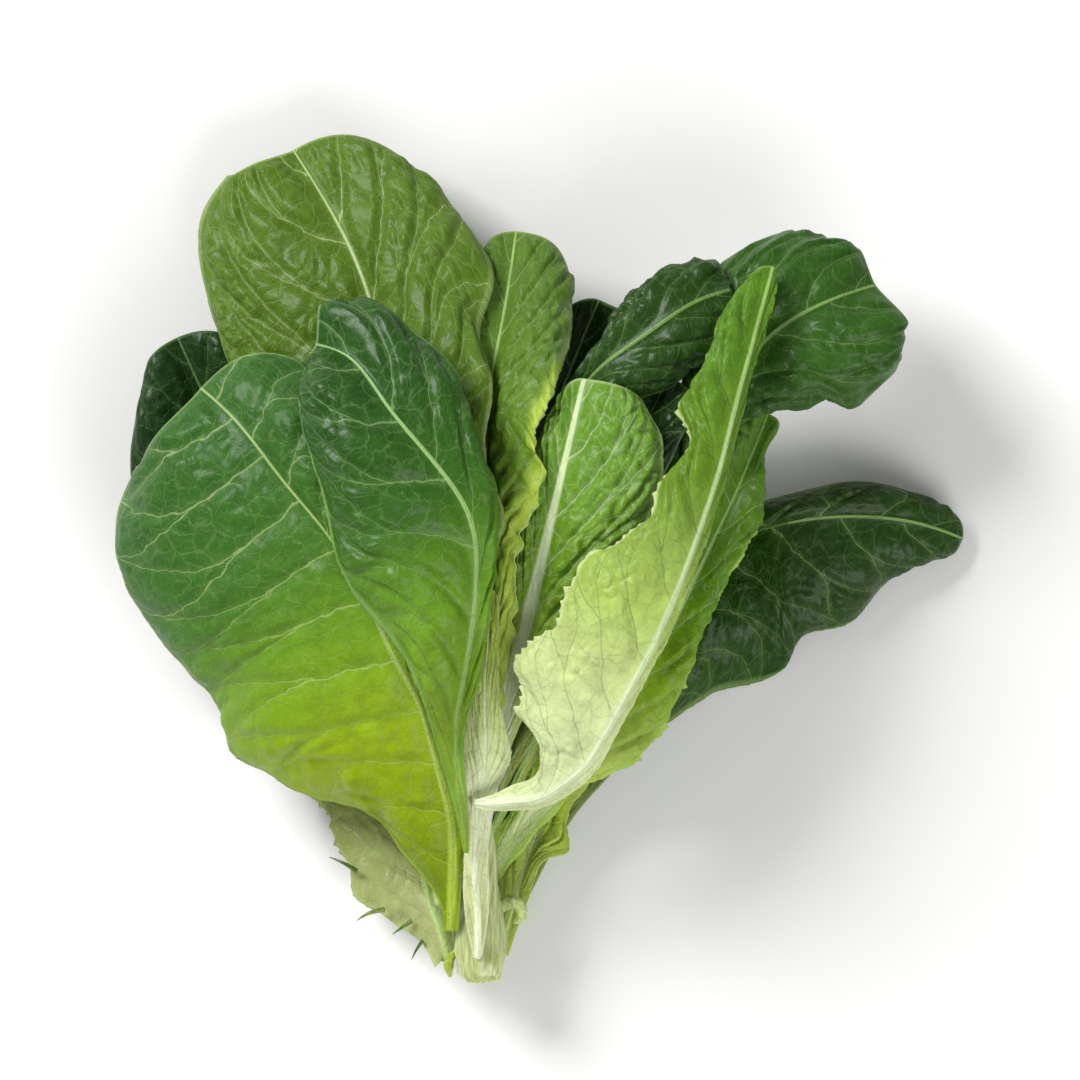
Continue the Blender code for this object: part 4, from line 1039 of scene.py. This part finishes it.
def stem_material():
    """Cut lettuce stem: wet, half clear flesh, pale green-white with darker threads."""
    material = bpy.data.materials.new("wet_lettuce_stem")
    material.use_nodes = True
    tree = material.node_tree
    shader = tree.nodes["Principled BSDF"]
    place = add(tree, "ShaderNodeTexCoord")
    stretch = add(tree, "ShaderNodeVectorMath", {"operation": "MULTIPLY"},
                  {0: place.outputs["Object"], 1: FLESH_THREADS})
    thread = add(tree, "ShaderNodeTexNoise", {}, {"Vector": stretch.outputs[0], "Scale": 1.0, "Detail": 4.0})
    colour = add(tree, "ShaderNodeValToRGB", {}, {0: thread.outputs[0]})
    colour.color_ramp.elements[0].position = 0.3
    colour.color_ramp.elements[0].color = (*linear("#98a35c"), 1.0)
    colour.color_ramp.elements[1].position = 0.65
    colour.color_ramp.elements[1].color = (*linear("#ccd69c"), 1.0)
    tree.links.new(colour.outputs[0], shader.inputs["Base Color"])
    bump = add(tree, "ShaderNodeBump", {},
               {"Height": thread.outputs[0], "Distance": 0.4 * MM, "Strength": 0.8})
    tree.links.new(bump.outputs[0], shader.inputs["Normal"])
    shader.inputs["Roughness"].default_value = 0.3
    shader.inputs["IOR"].default_value = FLESH_IOR
    shader.inputs["Coat Weight"].default_value = 0.5
    shader.inputs["Coat Roughness"].default_value = 0.08
    shader.inputs["Subsurface Weight"].default_value = 0.6
    shader.inputs["Subsurface Radius"].default_value = (1.0, 1.0, 0.4)
    shader.inputs["Subsurface Scale"].default_value = 4 * MM
    return material


share, turn = np.meshgrid(np.linspace(0, 1, STEM_GRID[0]),
                          np.linspace(0, 2 * math.pi, STEM_GRID[1], endpoint=False), indexing="ij")
rings = stem_surface(share, turn)
ring_raise = np.maximum(highest_below(rings) + CLEARANCE - rings[..., 2], 0.0).max(axis=1)
reach = np.abs(np.subtract.outer(np.arange(STEM_GRID[0]), np.arange(STEM_GRID[0])))
ring_raise = (ring_raise * np.clip(1 - reach / STEM_SLOPE, 0, 1)).max(axis=1)
rings[..., 2] += ring_raise[:, None]
np.maximum.at(height_map, map_cells(rings), rings[..., 2])
ends = np.stack([rings[0].mean(axis=0), rings[-1].mean(axis=0)])
index = np.arange(share.size).reshape(STEM_GRID)
turned = np.roll(index, -1, axis=1)
sides = np.stack([index[:-1], turned[:-1], turned[1:], index[1:]], axis=-1).reshape(-1, 4)
foot_fan = np.stack([turned[0], index[0], np.full(STEM_GRID[1], share.size)], axis=-1)
top_fan = np.stack([index[-1], turned[-1], np.full(STEM_GRID[1], share.size + 1)], axis=-1)
caps = np.concatenate([foot_fan, top_fan])
print("stem raised by", ring_raise.min().round(1), "to", ring_raise.max().round(1), "mm")

stem_mesh = bpy.data.meshes.new("stem_core")
stem_points = in_place(np.concatenate([rings.reshape(-1, 3), ends]))
stem_mesh.from_pydata(stem_points.tolist(), [], [*sides.tolist(), *caps.tolist()])
stem_mesh.shade_smooth()
stem_mesh.set_sharp_from_angle(angle=CUT_EDGE)
stem = add_object(stem_mesh, stem_material())
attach(stem, "root")
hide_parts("stem")

# %% [markdown]
# The inner leaves and the front ones lie over the stem, and the foremost is the last one laid.

# %% The leaves over the stem
for leaf in LEAVES_OVER_STEM:
    grow_leaf(leaf)

# %% [markdown]
# Round the cut end hang the bits that a knife and a rough hand leave: a small side bud, a stub that has
# curled up, and thorn-like ends of torn veins. Each is a tapering tube along a spline, a ring of
# points carried along it.

# %% Torn bits at the cut end
BIT_RINGS = 24
BIT_SIDES = 12
BIT_FIBRES = 700.0  # in a metre, so about one and a half millimetres apart
BIT_DARK = 0.6  # brightness between the fibres
OFF_AXIS = (0.3, 0.2, 1.0)  # along none of the bits, so that their rings can be turned from it
BITS = (  # name, colour, points it runs through, radius at the points
    ("side_bud", "#a8bc38", ((2, 11, 27), (-1, 8, 27), (-2.5, 4, 25), (-2, 0, 22)), (1.0, 1.5, 2.0, 0.8)),
    ("curled_stub", "#c6d48c", ((15, 24, 26), (19, 27, 29), (23, 26, 31), (24, 22, 30), (21, 20, 28)),
     (2.2, 2.6, 2.4, 2.0, 1.0)),
    ("torn_end_1", "#8ea43c", ((12, 8, 26), (12, 4, 28), (11, 1, 30)), (1.6, 1.2, 0.3)),
    ("torn_end_2", "#c4d06c", ((15, 10, 24), (16, 6, 26), (17, 3, 28)), (1.5, 1.1, 0.3)),
    ("torn_end_3", "#b4c464", ((7, 7, 26), (5, 4, 27), (6, 0.5, 28)), (1.6, 1.0, 0.3)),
    ("torn_vein_1", "#4c6420", ((-36, 38, 20), (-41, 41, 20), (-46, 43, 18)), (0.9, 0.6, 0.15)),
    ("torn_vein_2", "#7c8c3c", ((-26, 24, 21), (-31, 23, 22), (-36, 20, 20)), (1.0, 0.7, 0.15)),
    ("torn_vein_3", "#5c7428", ((-16, 20, 22), (-19, 18, 22), (-23, 15, 20)), (0.9, 0.6, 0.15)),
    ("torn_vein_4", "#4c6420", ((-12, 13, 22), (-14, 10, 22), (-16, 6, 20)), (0.8, 0.5, 0.15)),
)


def bit_material(name, code):
    """Moist torn lettuce flesh of one colour, with light going under its skin."""
    material = bpy.data.materials.new(name)
    material.use_nodes = True
    tree = material.node_tree
    shader = tree.nodes["Principled BSDF"]
    place = add(tree, "ShaderNodeTexCoord")
    fibre = add(tree, "ShaderNodeTexNoise", {},
                {"Vector": place.outputs["Object"], "Scale": BIT_FIBRES, "Detail": 3.0})
    colour = add(tree, "ShaderNodeValToRGB", {}, {0: fibre.outputs[0]})
    colour.color_ramp.elements[0].position = 0.3
    colour.color_ramp.elements[0].color = (*linear(code) * BIT_DARK, 1.0)
    colour.color_ramp.elements[1].position = 0.6
    colour.color_ramp.elements[1].color = (*linear(code), 1.0)
    tree.links.new(colour.outputs[0], shader.inputs["Base Color"])
    shader.inputs["Roughness"].default_value = 0.35
    shader.inputs["IOR"].default_value = SKIN_IOR
    shader.inputs["Coat Weight"].default_value = 0.3
    shader.inputs["Coat Roughness"].default_value = 0.12
    shader.inputs["Subsurface Weight"].default_value = 0.3
    shader.inputs["Subsurface Radius"].default_value = TISSUE_RADIUS
    shader.inputs["Subsurface Scale"].default_value = TISSUE_DEPTH
    return material


def tube(points, radii):
    """Rings and their faces for a tube: at each place of the spline, a circle square to it."""
    line = curve_through(points, BIT_RINGS)
    ahead = unit(np.gradient(line, axis=0))
    sideways = unit(np.cross(ahead, OFF_AXIS))
    up = np.cross(sideways, ahead)
    radius = np.interp(np.linspace(0, 1, BIT_RINGS), np.linspace(0, 1, len(radii)), radii)
    turn = np.linspace(0, 2 * math.pi, BIT_SIDES, endpoint=False)
    ring = np.cos(turn)[None, :, None] * sideways[:, None] + np.sin(turn)[None, :, None] * up[:, None]
    rings = line[:, None] + radius[:, None, None] * ring
    index = np.arange(BIT_RINGS * BIT_SIDES).reshape(BIT_RINGS, BIT_SIDES)
    turned = np.roll(index, -1, axis=1)
    sides = np.stack([index[:-1], turned[:-1], turned[1:], index[1:]], axis=-1).reshape(-1, 4)
    return rings.reshape(-1, 3), [*sides.tolist(), index[0, ::-1].tolist(), index[-1].tolist()]


for name, code, points, radii in BITS:
    bit_points, bit_faces = tube(points, radii)
    bit_mesh = bpy.data.meshes.new(name)
    bit_mesh.from_pydata(in_place(bit_points).tolist(), [], bit_faces)
    bit_mesh.shade_smooth()
    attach(add_object(bit_mesh, bit_material("torn_lettuce_" + name, code)), "root")
print("torn bits:", len(BITS))

# %% [markdown]
# The table is a plain matt white board under the head.

# %% The floor
FLOOR_SIDE = 6.0  # metres

floor_mesh = bpy.data.meshes.new("table")
corners = [(x * FLOOR_SIDE / 2, y * FLOOR_SIDE / 2, 0) for x, y in ((-1, -1), (1, -1), (1, 1), (-1, 1))]
floor_mesh.from_pydata(corners, [], [(0, 1, 2, 3)])
floor_paint = bpy.data.materials.new("matt_white_board")
floor_paint.use_nodes = True
paint = floor_paint.node_tree.nodes["Principled BSDF"]
paint.inputs["Base Color"].default_value = (*linear("#f4f4f2"), 1.0)
paint.inputs["Roughness"].default_value = 0.9
add_object(floor_mesh, floor_paint)
print("floor:", FLOOR_SIDE, "m square")
